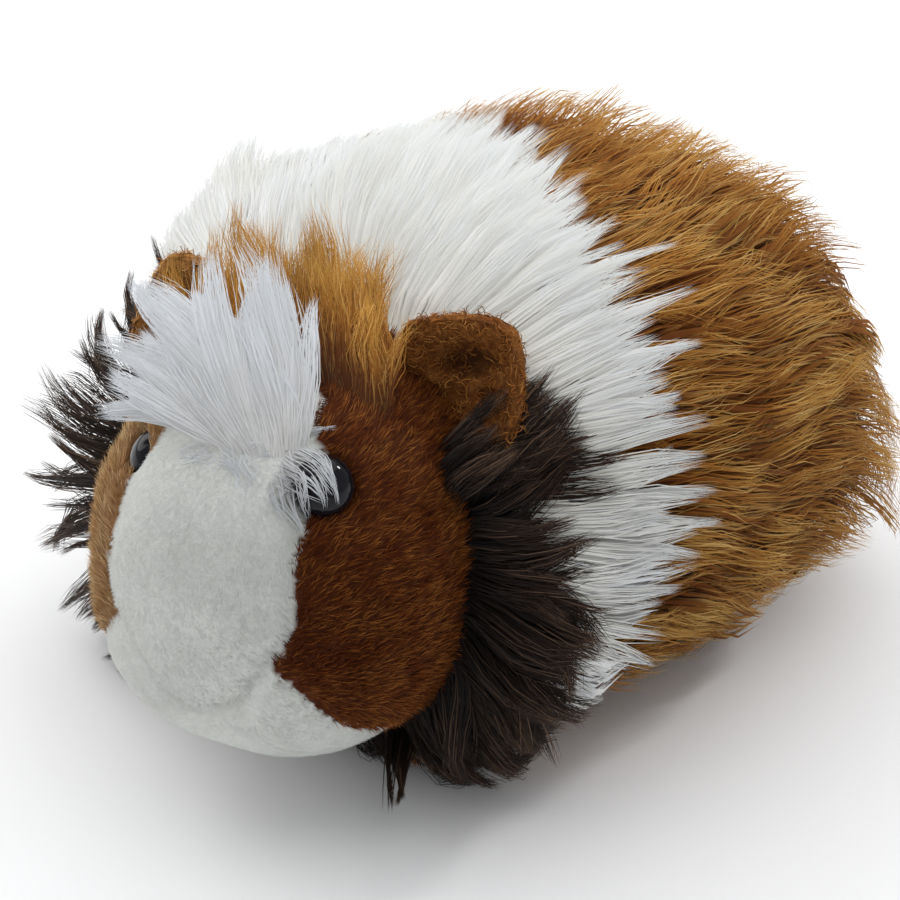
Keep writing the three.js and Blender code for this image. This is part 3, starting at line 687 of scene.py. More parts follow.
def pile_material(name, stops, tips=None, tip_share=0.35, patch=None, patch_scale=45.0, value=(0.78, 1.22), valley_shade=1.0,
                  rough=0.7, sheen=0.05, tint=(1, 1, 1, 1), spec=0.2):
    """Fibre colour from root to tip, varied from strand to strand and in slow
    patches over the coat, with painted shade darkening the strands away from the middle of each lock."""
    m, nt, bsdf = nodes_of(name)
    at = nt.nodes.new("ShaderNodeAttribute")
    at.attribute_name = "pile"
    sep = nt.nodes.new("ShaderNodeSeparateXYZ")
    nt.links.new(at.outputs["Vector"], sep.inputs[0])
    t, r, middle = sep.outputs
    shift = math_node(nt, "MULTIPLY_ADD", r, 0.16, -0.08)
    t2 = math_node(nt, "ADD", t, shift, clamp=True)
    col = ramp(nt, t2, stops)
    if tips is not None:
        share = math_node(nt, "GREATER_THAN", math_node(nt, "FRACT", math_node(nt, "MULTIPLY", r, 37.31), 0.0), 1.0 - tip_share)
        share = math_node(nt, "MULTIPLY", share, t)
        col = mix_color(nt, share, col, tips)
    if patch is not None:
        f = noise(nt, patch_scale, 2.0)
        f = ramp(nt, f, [(0.42, (0, 0, 0, 1)), (0.62, (1, 1, 1, 1))])
        col = mix_color(nt, f, col, mix_color(nt, 1.0, col, patch, "MULTIPLY"))
    hs = nt.nodes.new("ShaderNodeHueSaturation")
    nt.links.new(col, hs.inputs["Color"])
    v = math_node(nt, "MULTIPLY_ADD", r, value[1] - value[0], value[0])
    # painted shade: the value drops where the third pile value, the middle of the lock, is low
    if valley_shade < 1.0:
        v = math_node(nt, "MULTIPLY", v, math_node(nt, "MULTIPLY_ADD", middle, 1.0 - valley_shade, valley_shade))
    nt.links.new(v, hs.inputs["Value"])
    nt.links.new(hs.outputs["Color"], bsdf.inputs["Base Color"])
    bsdf.inputs["Roughness"].default_value = rough
    bsdf.inputs["Specular IOR Level"].default_value = spec
    bsdf.inputs["Sheen Weight"].default_value = sheen
    bsdf.inputs["Sheen Roughness"].default_value = 0.45
    bsdf.inputs["Sheen Tint"].default_value = tint
    return m


C = linear
MAT = {
    "gold": pile_material("gold_pile", [(0.0, C(82, 42, 14)), (0.3, C(120, 70, 25)), (0.6, C(166, 114, 49)), (1.0, C(198, 156, 84))],
                          tips=C(212, 176, 110), tip_share=0.2, patch=(0.76, 0.64, 0.50, 1), patch_scale=38.0, value=(0.86, 1.12), valley_shade=0.82, spec=0.08, sheen=0.03,
                          tint=C(255, 220, 170)),
    # painted light: the white is lighter at the roots than at the tips, lifting the shade deep in the coat
    "white": pile_material("white_pile", [(0.0, C(231, 227, 218)), (0.4, C(227, 226, 220)), (1.0, C(216, 218, 218))],
                           tips=C(221, 224, 226), tip_share=0.3, patch=(0.97, 0.965, 0.94, 1), value=(0.98, 1.0), spec=0.08, sheen=0.0),
    "dark": pile_material("dark_pile", [(0.0, C(20, 14, 12)), (0.5, C(38, 27, 22)), (1.0, C(66, 49, 39))],
                          tips=C(124, 99, 80), tip_share=0.2, patch=(0.72, 0.66, 0.62, 1), value=(0.7, 1.3), valley_shade=0.6, spec=0.16, sheen=0.02, rough=0.6),
    "crown": pile_material("crown_pile", [(0.0, C(54, 25, 9)), (0.36, C(94, 51, 17)), (0.6, C(152, 100, 38)), (1.0, C(184, 136, 62))],
                           tips=C(200, 156, 86), tip_share=0.25, value=(0.8, 1.15), valley_shade=0.7, tint=C(255, 220, 170), spec=0.1, sheen=0.03),
    "forelock": pile_material("forelock_pile", [(0.0, C(206, 205, 202)), (0.4, C(198, 199, 200)), (1.0, C(196, 199, 203))],
                              tips=C(205, 209, 214), tip_share=0.4, value=(0.96, 1.0), spec=0.08, sheen=0.0),
    "brown": pile_material("brown_plush", [(0.0, C(56, 25, 8)), (0.45, C(92, 46, 16)), (1.0, C(124, 70, 27))],
                           tips=C(176, 112, 52), tip_share=0.24, patch=(0.66, 0.50, 0.40, 1), patch_scale=130.0, value=(0.66, 1.22),
                           sheen=0.04, spec=0.08, tint=C(255, 205, 140)),
    # painted light: a lighter, lit copy of the ear curls, for the far ear
    "ear_lit": pile_material("ear_curl_lit", [(0.0, C(120, 76, 36)), (0.5, C(168, 116, 62)), (1.0, C(196, 146, 86))],
                             tips=C(220, 176, 118), tip_share=0.25, patch=(0.74, 0.64, 0.54, 1), patch_scale=120.0, value=(0.8, 1.15),
                             sheen=0.04, spec=0.08, tint=C(255, 205, 150)),
    # painted light: a lighter, lit copy of the brown plush, for the head's far side
    "lit_brown": pile_material("lit_brown_plush", [(0.0, C(104, 70, 40)), (0.45, C(160, 126, 84)), (1.0, C(190, 158, 116))],
                         tips=C(222, 194, 150), tip_share=0.24, patch=(0.74, 0.62, 0.52, 1), patch_scale=130.0, value=(0.75, 1.15),
                         sheen=0.04, spec=0.08, tint=C(255, 205, 140)),
    # the muzzle's off-white is its own colour, set greyer than the white coat partly as painted shade of the muzzle
    # facing down and forward
    "cream": pile_material("cream_plush", [(0.0, C(201, 201, 195)), (0.5, C(205, 207, 202)), (1.0, C(208, 210, 207))],
                           tips=C(214, 217, 216), tip_share=0.4, patch=(0.97, 0.965, 0.95, 1), patch_scale=150.0, value=(0.97, 1.0), sheen=0.0, spec=0.05),
    "ear": pile_material("ear_curl", [(0.0, C(100, 56, 22)), (0.5, C(152, 95, 43)), (1.0, C(186, 125, 62))],
                         tips=C(204, 148, 84), tip_share=0.25, patch=(0.66, 0.55, 0.45, 1), patch_scale=120.0, value=(0.75, 1.2), valley_shade=0.66,
                         sheen=0.04, spec=0.08, tint=C(255, 205, 150)),
}


def skin_material():
    m, nt, bsdf = nodes_of("skin_fabric")
    at = nt.nodes.new("ShaderNodeAttribute")
    at.attribute_name = "tint"
    n1 = noise(nt, 900.0, 4.0, 0.7)
    n2 = noise(nt, 60.0, 3.0)
    f = math_node(nt, "ADD", math_node(nt, "MULTIPLY", n1, 0.5), math_node(nt, "MULTIPLY_ADD", n2, 0.5, 0.5))
    hs = nt.nodes.new("ShaderNodeHueSaturation")
    nt.links.new(at.outputs["Color"], hs.inputs["Color"])
    nt.links.new(f, hs.inputs["Value"])
    nt.links.new(hs.outputs["Color"], bsdf.inputs["Base Color"])
    bsdf.inputs["Roughness"].default_value = 0.85
    bsdf.inputs["Sheen Weight"].default_value = 0.05
    bsdf.inputs["Specular IOR Level"].default_value = 0.1
    bump = nt.nodes.new("ShaderNodeBump")
    bump.inputs["Strength"].default_value = 0.6
    bump.inputs["Distance"].default_value = 0.0008
    nt.links.new(n1, bump.inputs["Height"])
    nt.links.new(bump.outputs["Normal"], bsdf.inputs["Normal"])
    return m


skin, _ = build_mesh("skin", SKIN.v, [SKIN.q])
# backing colour of each panel, in region order; the white backing is set lighter than its fibres as painted light that
# lifts the gaps between them, and the last, for the far side of the head, is a lighter, lit copy of the brown, also
# painted light
under = np.array([C(96, 54, 20), C(246, 245, 240), C(26, 18, 15), C(74, 34, 11), C(200, 202, 197), C(124, 88, 54)])
tint = skin.data.attributes.new("tint", "FLOAT_COLOR", "POINT")
tint.data.foreach_set("color", np.ascontiguousarray(under[region(SKIN.v)], dtype=np.float32).reshape(-1))
skin.data.materials.append(skin_material())
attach(skin, "root")
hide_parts("rump", "shoulder_band", "belly", "ruff_left", "ruff_right", "cheek_left", "cheek_right", "muzzle", "chin",
            "foot_front_left", "foot_front_right", "foot_rear_left", "foot_rear_right")

TRIS = {}


def coat_piece(name, mat, slot, curves, normal, width, uv0, rand, **kw):
    ob, tris = strand_mesh(name, curves, normal, width, uv0, rand, **kw)
    ob.data.materials.append(MAT[mat])
    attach(ob, "root")
    TRIS[name] = tris
    return ob


# --------------------------------------------------------------- long coat
CENTRE = np.array([8.0, -84.0, 62.0])     # the coat sweeps back from the face


def body_flow(p):
    v = p - CENTRE
    low = smooth(70.0, 15.0, p[:, 2])
    side = smooth(10.0, 55.0, np.abs(p[:, 0]))
    f = unit(v * np.array([0.75, 1.0, 0.35]))
    f[:, 2] -= (0.18 + 0.35 * low) * mix(0.4, 1.0, side)
    # down the back end
    f[:, 2] -= 0.9 * smooth(55.0, 95.0, p[:, 1])
    wander = 0.16 * np.sin(p[:, 0] / 8.0 + p[:, 2] / 11.0) * np.cos(p[:, 1] / 12.0)
    f[:, 0] += wander
    f[:, 2] += 0.14 * np.sin(p[:, 1] / 9.0 + p[:, 0] / 14.0)
    return f


def long_pile(name, mat, slot, seed, count, keep, length, width, lift, K=4, locks=(8.0, 36.0), pull=(0.35, 0.75), crimp=(0.8, 1.0),
              swing=4.0, flow=body_flow, field=body_field, uv=body_uv, split=1, flat=0.7, lock_swing=8.0, power=1.4, loose=0.4,
              aim=None, rise=5.0, shade=0.88, clear=None, t_max=1.0, round_up=0.6, short=0.15, even=1, push=None,
              vary=(0.86, 1.1), shadow=True, frizz=0.15, painted_lock_shade=None, dense=None):
    rng = np.random.default_rng(seed)
    P, n = SKIN.scatter(rng, count, keep)
    big, mid = locks_of(P, rng, locks[1], even, dense)
    fine, fine_mid = locks_of(P, rng, locks[0], 0)
    # how far each strand lies from the middle of its lock
    off = P - P[mid][big]
    off = off - dot(off, n) * n
    off = off / math.sqrt(2.0 * float((off ** 2).sum(1).mean()) + 1e-9)
    far = np.linalg.norm(off, axis=1)
    middle = np.clip(1.0 - 0.75 * far ** 2, 0, 1)
    N = len(P)
    L = length(P) * rng.uniform(0.9, 1.06, N) if callable(length) else rng.uniform(length[0], length[1], N)
    L = L * rng.uniform(vary[0], vary[1], len(mid))[big] * (0.9 + 0.1 * middle) * (1.0 - short * rng.random(N) ** 2)
    lean = rng.normal(0, lock_swing * DEG, len(mid))[big]
    own = rng.normal(0, rise * DEG, len(mid))[big] + rng.normal(0, 0.6 * swing * DEG, N) + 5 * DEG * (middle - 0.5)
    sw = lean + rng.normal(0, swing * DEG, N)
    l0, l1 = lift(P) if callable(lift) else lift
    if aim is not None:                    # each strand keeps its own direction
        toward = aim(P)
        flow = lambda p: toward
    curves, ns = march(P - n * 0.8, L, K, flow, field, lambda s: np.zeros(N) + mix(l0, l1, s) * DEG + own * (1 - 0.5 * s), sw)
    curves = gather(curves, fine, fine_mid, rng, pull[0], power, loose * 0.4)
    curves = gather(curves, big, mid, rng, pull[1](P) if callable(pull[1]) else pull[1], power + 0.4, loose)
    curves = wave(curves, rng, crimp[0], crimp[1], big)
    curves = wave(curves, rng, crimp[0] * frizz, crimp[1] * 1.6)
    if push is not None:
        curves = push(curves)
    if painted_lock_shade is not None:                   # painted shade: lock middles darkened where the given field is low, for the shade under an overlying panel
        middle = middle * painted_lock_shade(P)
    ns = unit(ns + round_up * off[:, None, :])
    W = rng.uniform(width[0], width[1], N)
    rnd = np.clip(0.3 * rng.random(N) + 0.7 * rng.random(len(mid))[big], 0, 1)
    if clear is not None:
        k = clear(curves)
        curves, ns, W, rnd, P, middle, N = curves[k], ns[k], W[k], rnd[k], P[k], middle[k], int(k.sum())
    out = []
    order = np.argsort(P[:, 1]) if split > 1 else np.arange(N)
    for i, part in enumerate(np.array_split(order, split)):
        nm = name if split == 1 else f"{name}_{i + 1}"
        out.append(coat_piece(nm, mat, slot, curves[part], ns[part], W[part], stretch(uv(P[part])), rnd[part],
                              flat=flat, extra=middle[part], shade=shade, t_max=t_max))
        out[-1].visible_shadow = shadow    # lamps shine through pale, thin fibres
    return out


def is_region(k, extra=None):
    def keep(p):
        r = (region(p) == k).astype(float)
        return r if extra is None else r * extra(p)
    return keep


def not_under(p):
    """Thin the pile out below, where the toy sits on it."""
    return 1.0 - 0.8 * smooth(7.0, 2.0, p[:, 2])


def clear_of_ears(curves):
    """True for the strands that pass beside the ears, not through them."""
    ok = np.ones(len(curves), dtype=bool)
    for side in (1, -1):
        base, up, face, across = ear_frame(side)
        d = curves - base
        inside = (np.abs(d @ face - 1.0) < 8.0) & (np.abs(d @ across) < 13.0) & (np.abs(d @ up) < 14.0)
        ok &= ~inside.any(1)
    return ok


# broad locks under the fine strands, so that no skin shows between them
long_pile("coat_rump_under", "gold", "gold_pile", 101, 3000, is_region(GOLD, not_under), (24, 31), (0.5, 0.8), (22, 0), K=3,
          locks=(6.0, 12.0), pull=(0.2, 0.4), flat=0.5, t_max=0.5)
long_pile("coat_band_under", "white", "white_pile", 102, 2400, is_region(WHITE, not_under), (25, 30), (0.8, 1.2), (21, 0), K=3,
          locks=(6.0, 12.0), pull=(0.1, 0.3), flat=0.3, clear=clear_of_ears, rise=2.0, swing=3.0, lock_swing=5.0, shade=0.95)
long_pile("coat_ruff_under", "dark", "dark_pile", 103, 1000, is_region(DARK, not_under), (19, 24), (0.45, 0.75), (22, 2), K=3,
          locks=(6.0, 12.0), pull=(0.2, 0.4), flat=0.5, t_max=0.5)

def by_band(p):
    """1 beside the white band, 0 away from it."""
    return smooth(15.0, 2.0, p[:, 1] - white_end(p[:, 0], p[:, 2]))


def low_rear(p):
    return smooth(76.0, 48.0, p[:, 2]) * smooth(18.0, 52.0, p[:, 1])


def top_rear(p):
    return smooth(84.0, 97.0, p[:, 2]) * smooth(22.0, 45.0, p[:, 1])


def rump_length(p):
    return 30.0 - 7.0 * by_band(p) + (1.5 + 3.0 * smooth(22.0, -2.0, p[:, 0])) * top_rear(p) + 7.5 * low_rear(p)


def rump_lift(p):
    high = smooth(92.0, 104.0, p[:, 2])
    return 32.0 - (20.0 - 9.0 * high) * by_band(p) + 8.0 * top_rear(p) + 14.0 * low_rear(p), -4.0 * by_band(p) + 6.0 * top_rear(p) + 12.0 * low_rear(p)


# painted shade: the gold beside the white band is darkened, for the shadow of the white tips over it
long_pile("coat_rump", "gold", "gold_pile", 111, 14500, is_region(GOLD, not_under), rump_length, (0.125, 0.19), rump_lift, K=4,
          locks=(8.0, 26.0), pull=(0.2, 0.55), crimp=(2.0, 0.75), swing=5.0, split=2, lock_swing=10.0, loose=0.9, flat=0.35,
          even=0, short=0.28, shade=0.93, vary=(0.78, 1.12), shadow=False, frizz=0.25, painted_lock_shade=lambda p: 1.0 - 0.6 * by_band(p))


def band_flow(p):
    f = body_flow(p)
    f[:, 2] -= 0.25 * smooth(64.0, 36.0, p[:, 2])
    return f


def back_edge(p):
    return smooth(18.0, 4.0, white_end(p[:, 0], p[:, 2]) - p[:, 1])


def band_pull(p):
    """Silky in the middle of the band, drawn to points along its back edge."""
    return mix(0.3, 0.92, back_edge(p))


def band_out(p):
    """The part that sticks out past the toy's right shoulder."""
    return smooth(-30.0, -46.0, p[:, 0]) * smooth(70.0, 80.0, p[:, 2]) * smooth(102.0, 94.0, p[:, 2]) * smooth(-8.0, -22.0, p[:, 1])


def band_length(p):
    hip = smooth(-14.0, -30.0, p[:, 0]) * smooth(86.0, 98.0, p[:, 2])
    return mix(37.0, 29.0, smooth(80.0, 40.0, p[:, 2])) + 6.0 * band_out(p) - 5.0 * hip


def band_lift(p):
    out = band_out(p)
    up = smooth(66.0, 100.0, p[:, 2]) * smooth(-34.0, -6.0, p[:, 0])
    up = up * (1.0 - 0.55 * back_edge(p))
    return 22.0 + 20.0 * up + 13.0 * out, 1.0 + 14.0 * up + 14.0 * out


long_pile("coat_band", "white", "white_pile", 112, 18500, is_region(WHITE, not_under), band_length, (0.15, 0.24), band_lift, K=3,
          locks=(8.0, 38.0), pull=(0.1, band_pull), crimp=(0.9, 0.5), swing=2.6, split=2, lock_swing=5.0, power=1.7, clear=clear_of_ears,
          flat=0.22, round_up=0.2, loose=0.5, rise=1.6, short=0.25, shade=1.0, vary=(0.82, 1.14), shadow=False, flow=band_flow,
          dense=lambda p: 1.0 + 3.0 * back_edge(p))


def ruff_flow(p):
    """Back and down on the near side, straight out on the far side."""
    near = smooth(-10.0, 10.0, p[:, 0])[:, None]
    high = smooth(26.0, 76.0, p[:, 2])[:, None]
    high_far = smooth(12.0, 62.0, p[:, 2])[:, None]
    v = p - np.array([5.0, -60.0, 56.0])
    radial = unit(v * np.array([1.0, 0.0, 1.0]))
    a = radial * 0.6 + mix(np.array([0.1, 0.25, -0.75]), np.array([0.0, 1.0, -0.15]), high)
    b = radial + mix(np.array([0.0, -0.55, -0.4]), np.array([0.0, 0.05, 0.42]), high_far)
    return mix(b, a, near)


def ruff_length(p):
    far = mix(42.0, 28.0, smooth(34.0, 76.0, p[:, 2]))
    return mix(far, mix(26.5, 18.0, smooth(78.0, 94.0, p[:, 2])), smooth(-10.0, 10.0, p[:, 0]))


def ruff_lift(p):
    near = smooth(-10.0, 10.0, p[:, 0])
    return mix(62.0, 36.0, near), mix(34.0, 2.0, near)


long_pile("coat_ruff_left", "dark", "dark_pile", 113, 4300, is_region(DARK, lambda p: not_under(p) * (p[:, 0] > 0)), ruff_length,
          (0.11, 0.17), ruff_lift, K=5, locks=(7.0, 60.0), pull=(0.35, 0.82), crimp=(3.0, 0.7), swing=6.0, flow=ruff_flow, lock_swing=13.0,
          even=0, short=0.35, loose=0.7)
long_pile("coat_ruff_right", "dark", "dark_pile", 114, 2700, is_region(DARK, lambda p: not_under(p) * (p[:, 0] <= 0)), ruff_length,
          (0.10, 0.16), ruff_lift, K=5, locks=(6.0, 40.0), pull=(0.35, 1.15), crimp=(2.8, 0.7), swing=5.0, flow=ruff_flow, lock_swing=14.0,
          power=0.75, short=0.5, loose=0.45, even=0)
long_pile("coat_ruff_ear", "dark", "dark_pile", 115, 900, lambda p: smooth(11.5, 8.5, np.linalg.norm(p - EAR_FOOT, axis=-1)), (15, 25),
          (0.10, 0.15), (50, 18), K=4, locks=(7.0, 34.0), pull=(0.3, 0.8), crimp=(1.8, 0.7), swing=6.0,
          aim=lambda p: np.tile(LAT * 0.75 - FWD + UP * 0.55, (len(p), 1)), lock_swing=15.0, even=0, short=0.4, loose=0.6)


# one lock drops forward from under the cheek
CHIN_LOCK = SKIN.v[((SKIN.v - np.array([27.0, -53.0, 10.0])) ** 2).sum(1).argmin()]
long_pile("coat_chin_lock", "dark", "dark_pile", 116, 190, lambda p: smooth(4.8, 3.0, np.linalg.norm(p - CHIN_LOCK, axis=-1)), (29, 36),
          (0.14, 0.2), (2, -24), K=5, locks=(8.0, 190.0), pull=(0.4, 1.3), crimp=(1.0, 0.5), swing=4.0,
          aim=lambda p: np.tile(np.array([0.7, -0.72, 0.0]), (len(p), 1)), field=lambda p: p[..., 2] * 1.0, lock_swing=1.0, power=0.7,
          short=0.3, loose=0.25, rise=0.8)


# ----------------------------------------------------- head tuft and crown
def head_field(p):
    return head_dist(p, NAP)


# The forelock is sewn in along a short line and fans out from it: to the right
# side at one end, up and back in the middle, down over the left eye at the other.
FAN = [(-10, -86), (-5, -76), (-1, -66), (3, -54), (7, -42), (10, -34), (13, -28), (16, -24)]


def fan_aim(p):
    a = lerp_table(to_head(p)[:, 0], FAN) * DEG
    rising = 0.55
    return np.cos(a)[:, None] * (UP * rising - FWD) + np.sin(a)[:, None] * LAT


def forelock_keep(p):
    q = to_head(p)
    e = np.hypot((q[:, 0] - 3.0) / 12.5, np.hypot(q[:, 1] - 24.5, q[:, 2] - 36.6) / 5.0)
    return smooth(1.15, 0.85, e) * smooth(32.0, 34.0, q[:, 2]) * smooth(16.5, 14.5, q[:, 0])


def brow_keep(p):
    q = to_head(p)
    line = 35.0 - 0.12 * np.maximum(q[:, 0], 0.0) ** 1.2
    return (np.abs(q[:, 2] - line) < 2.2) * (q[:, 0] > -9) * (q[:, 0] < 15) * (q[:, 1] > 15)


def forelock_length(p):
    return lerp_table(to_head(p)[:, 0], [(-10, 24), (-5, 33), (-1, 40), (1, 44), (3, 41), (7, 47), (10, 47), (13, 39), (16, 26)])


def forelock_lift(p):
    l = to_head(p)[:, 0]
    return lerp_table(l, [(-10, 28), (-3, 42), (7, 44), (13, 38)]), lerp_table(l, [(-10, -2), (-3, 8), (7, 10), (13, 4)])


long_pile("coat_forelock", "forelock", "white_pile", 121, 4500, forelock_keep, forelock_length, (0.12, 0.19), forelock_lift,
          K=5, locks=(9.0, 105.0), pull=(0.4, 1.0), crimp=(2.6, 0.65), swing=7.0, aim=fan_aim, field=head_field, uv=head_uv,
          lock_swing=11.0, power=1.3, round_up=0.3, flat=0.3, loose=0.6, short=0.45, even=0, shade=0.97, vary=(0.62, 1.16), shadow=False, frizz=0.3)
long_pile("coat_brow", "forelock", "white_pile", 124, 400, lambda p: brow_keep(p), (5, 10), (0.10, 0.15), (34, -10),
          K=4, locks=(5.0, 16.0), pull=(0.3, 0.8), crimp=(2.0, 0.9), swing=34.0, aim=lambda p: np.tile(-UP + LAT * 0.15, (len(p), 1)),
          field=head_field, uv=head_uv, lock_swing=42.0, power=1.0, round_up=0.3, flat=0.35, loose=0.5, short=0.4, even=0, shade=0.97, shadow=False)


def over_eye(curves):
    """Drape the strands over the face of the left eye."""
    c, n = eye_frame("left")
    lay = 0.4 + 0.5 * (np.arange(len(curves)) % 7) / 7.0
    for _ in range(2):
        for k in range(1, curves.shape[1]):
            d = curves[:, k] - c
            out = d @ n
            r = np.linalg.norm(d - out[:, None] * n, axis=1)
            need = EYE_DEPTH * np.sqrt(np.clip(1.0 - (r / (EYE_R + 0.7)) ** 2, 0, 1)) + lay + 0.1 * k
            rise = np.where(r < EYE_R + 0.7, np.maximum(need - out, 0.0), 0.0)
            curves[:, k] += rise[:, None] * n
        curves[:, 1:-1] = 0.5 * curves[:, 1:-1] + 0.25 * (curves[:, :-2] + curves[:, 2:])
    return curves


def wisp_turn(p):
    """0 at the top of the small patch beside the left eye, 1 at its bottom."""
    return np.clip((36.5 - to_head(p)[:, 2]) / 5.5, 0, 1)


def wisp_aim(p):
    t = wisp_turn(p)
    a = np.where(t < 0.25, 42.0, mix(108.0, 140.0, (t - 0.25) / 0.75)) * DEG
    return np.sin(a)[:, None] * LAT - np.cos(a)[:, None] * FWD


def wisp_length(p):
    return mix(7.0, 13.5, smooth(0.15, 0.55, wisp_turn(p)))


def wisp_keep(p):
    q = to_head(p)
    return (np.hypot(q[:, 0] - 12.0, (q[:, 2] - 33.4) * 0.9) < 3.4) & (q[:, 1] > 18)


long_pile("coat_wisps", "forelock", "white_pile", 123, 130, wisp_keep, wisp_length, (0.10, 0.14), (34, -18),
          K=6, locks=(5.0, 11.0), pull=(0.4, 1.05), crimp=(1.3, 0.6), swing=5.0, aim=wisp_aim, field=head_field, uv=head_uv,
          lock_swing=12.0, power=0.9, round_up=0.35, flat=0.5, loose=0.3, short=0.4, shade=0.93, even=0, push=over_eye)


def crown_aim(p):
    l = to_head(p)[:, :1]
    return LAT * (-0.45 + np.where(l > 0, (l - 17.0) / 22.0, l / 26.0)) - FWD * 1.0


def crown_keep(p):
    q = to_head(p)
    l = q[:, 0]
    bunch = smooth(6.5, 9.0, l) * smooth(25.5, 23.0, l) + 0.7 * smooth(-5.0, -9.0, l) * smooth(-24.0, -20.0, l) + 0.4 * (np.abs(l) < 7.5)
    return bunch * smooth(-6.5, -4.0, q[:, 1]) * smooth(9.0, 6.0, q[:, 1]) * (q[:, 2] > 20)


def crown_length(p):
    return lerp_table(to_head(p)[:, 0], [(-24, 26), (-10, 31), (0, 32), (8, 36), (11, 39), (15, 34), (24, 31)])


long_pile("coat_crown", "crown", "gold_pile", 122, 3500, crown_keep, crown_length, (0.11, 0.17), (62, 58), K=4,
          locks=(7.0, 56.0), pull=(0.2, 0.72), crimp=(3.0, 0.8), swing=10.0, aim=crown_aim, field=lambda p: p[..., 2] * 1.0,
          uv=head_uv, lock_swing=11.0, power=1.2, rise=4.0, clear=clear_of_ears, flat=0.35, loose=0.9, short=0.5, even=0,
          vary=(0.7, 1.12), shade=0.93, shadow=False, frizz=0.5)


# -------------------------------------------------------------- short coat
def nap(name, mat, slot, seed, count, keep, length, width, lift, flow, uv=head_uv, shade=0.8, mess=1.0, flat=0.8, shadow=True):
    rng = np.random.default_rng(seed)
    P, n = SKIN.scatter(rng, count, keep)
    N = len(P)
    f = flow(P)
    f = unit(f - dot(f, n) * n)
    cell = nearest(P, P[rng.choice(N, max(4, N // 14), replace=False)])
    k = int(cell.max()) + 1
    f = rotate(f, n, mess * (rng.normal(0, 14 * DEG, k)[cell] + rng.normal(0, 12 * DEG, N)))
    a = (lift + mess * (rng.normal(0, 6, k)[cell] + rng.normal(0, 6, N))) * DEG
    d = f * np.cos(a)[:, None] + n * np.sin(a)[:, None]
    L = rng.uniform(length[0], length[1], N)
    base = P - n * 0.25
    curves = np.stack([base, base + d * L[:, None]], 1)
    rnd = np.clip(0.6 * rng.random(N) + 0.4 * rng.random(k)[cell], 0, 1)
    ob = coat_piece(name, mat, slot, curves, n, rng.uniform(width[0], width[1], N), stretch(uv(P)), rnd, flat=flat, shade=shade,
                    profile=([0, 1], [1, 0]))
    ob.visible_shadow = shadow
    return ob


def cheek_flow(p):
    f = np.tile(np.array([0.0, 1.0, 0.45]), (len(p), 1))
    q = to_head(p)
    f[:, 2] -= 1.1 * smooth(-6.0, -34.0, q[:, 2])
    return f + 0.25 * np.stack([np.sin(p[:, 1] / 7.0), np.zeros(len(p)), np.sin(p[:, 0] / 6.0 + p[:, 2] / 8.0)], 1)


def muzzle_flow(p):
    q = to_head(p)
    return LAT * (q[:, :1] / 22.0) - UP * 0.8 + 0.2 * np.stack([np.sin(p[:, 2] / 7.0)] * 3, 1)


nap("coat_cheeks", "brown", "brown_plush", 131, 28000, is_region(BROWN), (2.6, 3.7), (0.14, 0.205), 30.0, cheek_flow)
# painted light: the far cheek's nap in the lighter, lit copy of the brown
nap("coat_cheek_lit", "lit_brown", "brown_plush", 133, 8000, is_region(LIT_BROWN), (2.4, 3.5), (0.12, 0.18), 30.0, cheek_flow)
nap("coat_muzzle", "cream", "cream_plush", 132, 26000, is_region(CREAM), (1.6, 2.3), (0.11, 0.17), 15.0, muzzle_flow, shade=1.0, mess=0.35, flat=0.25, shadow=False)


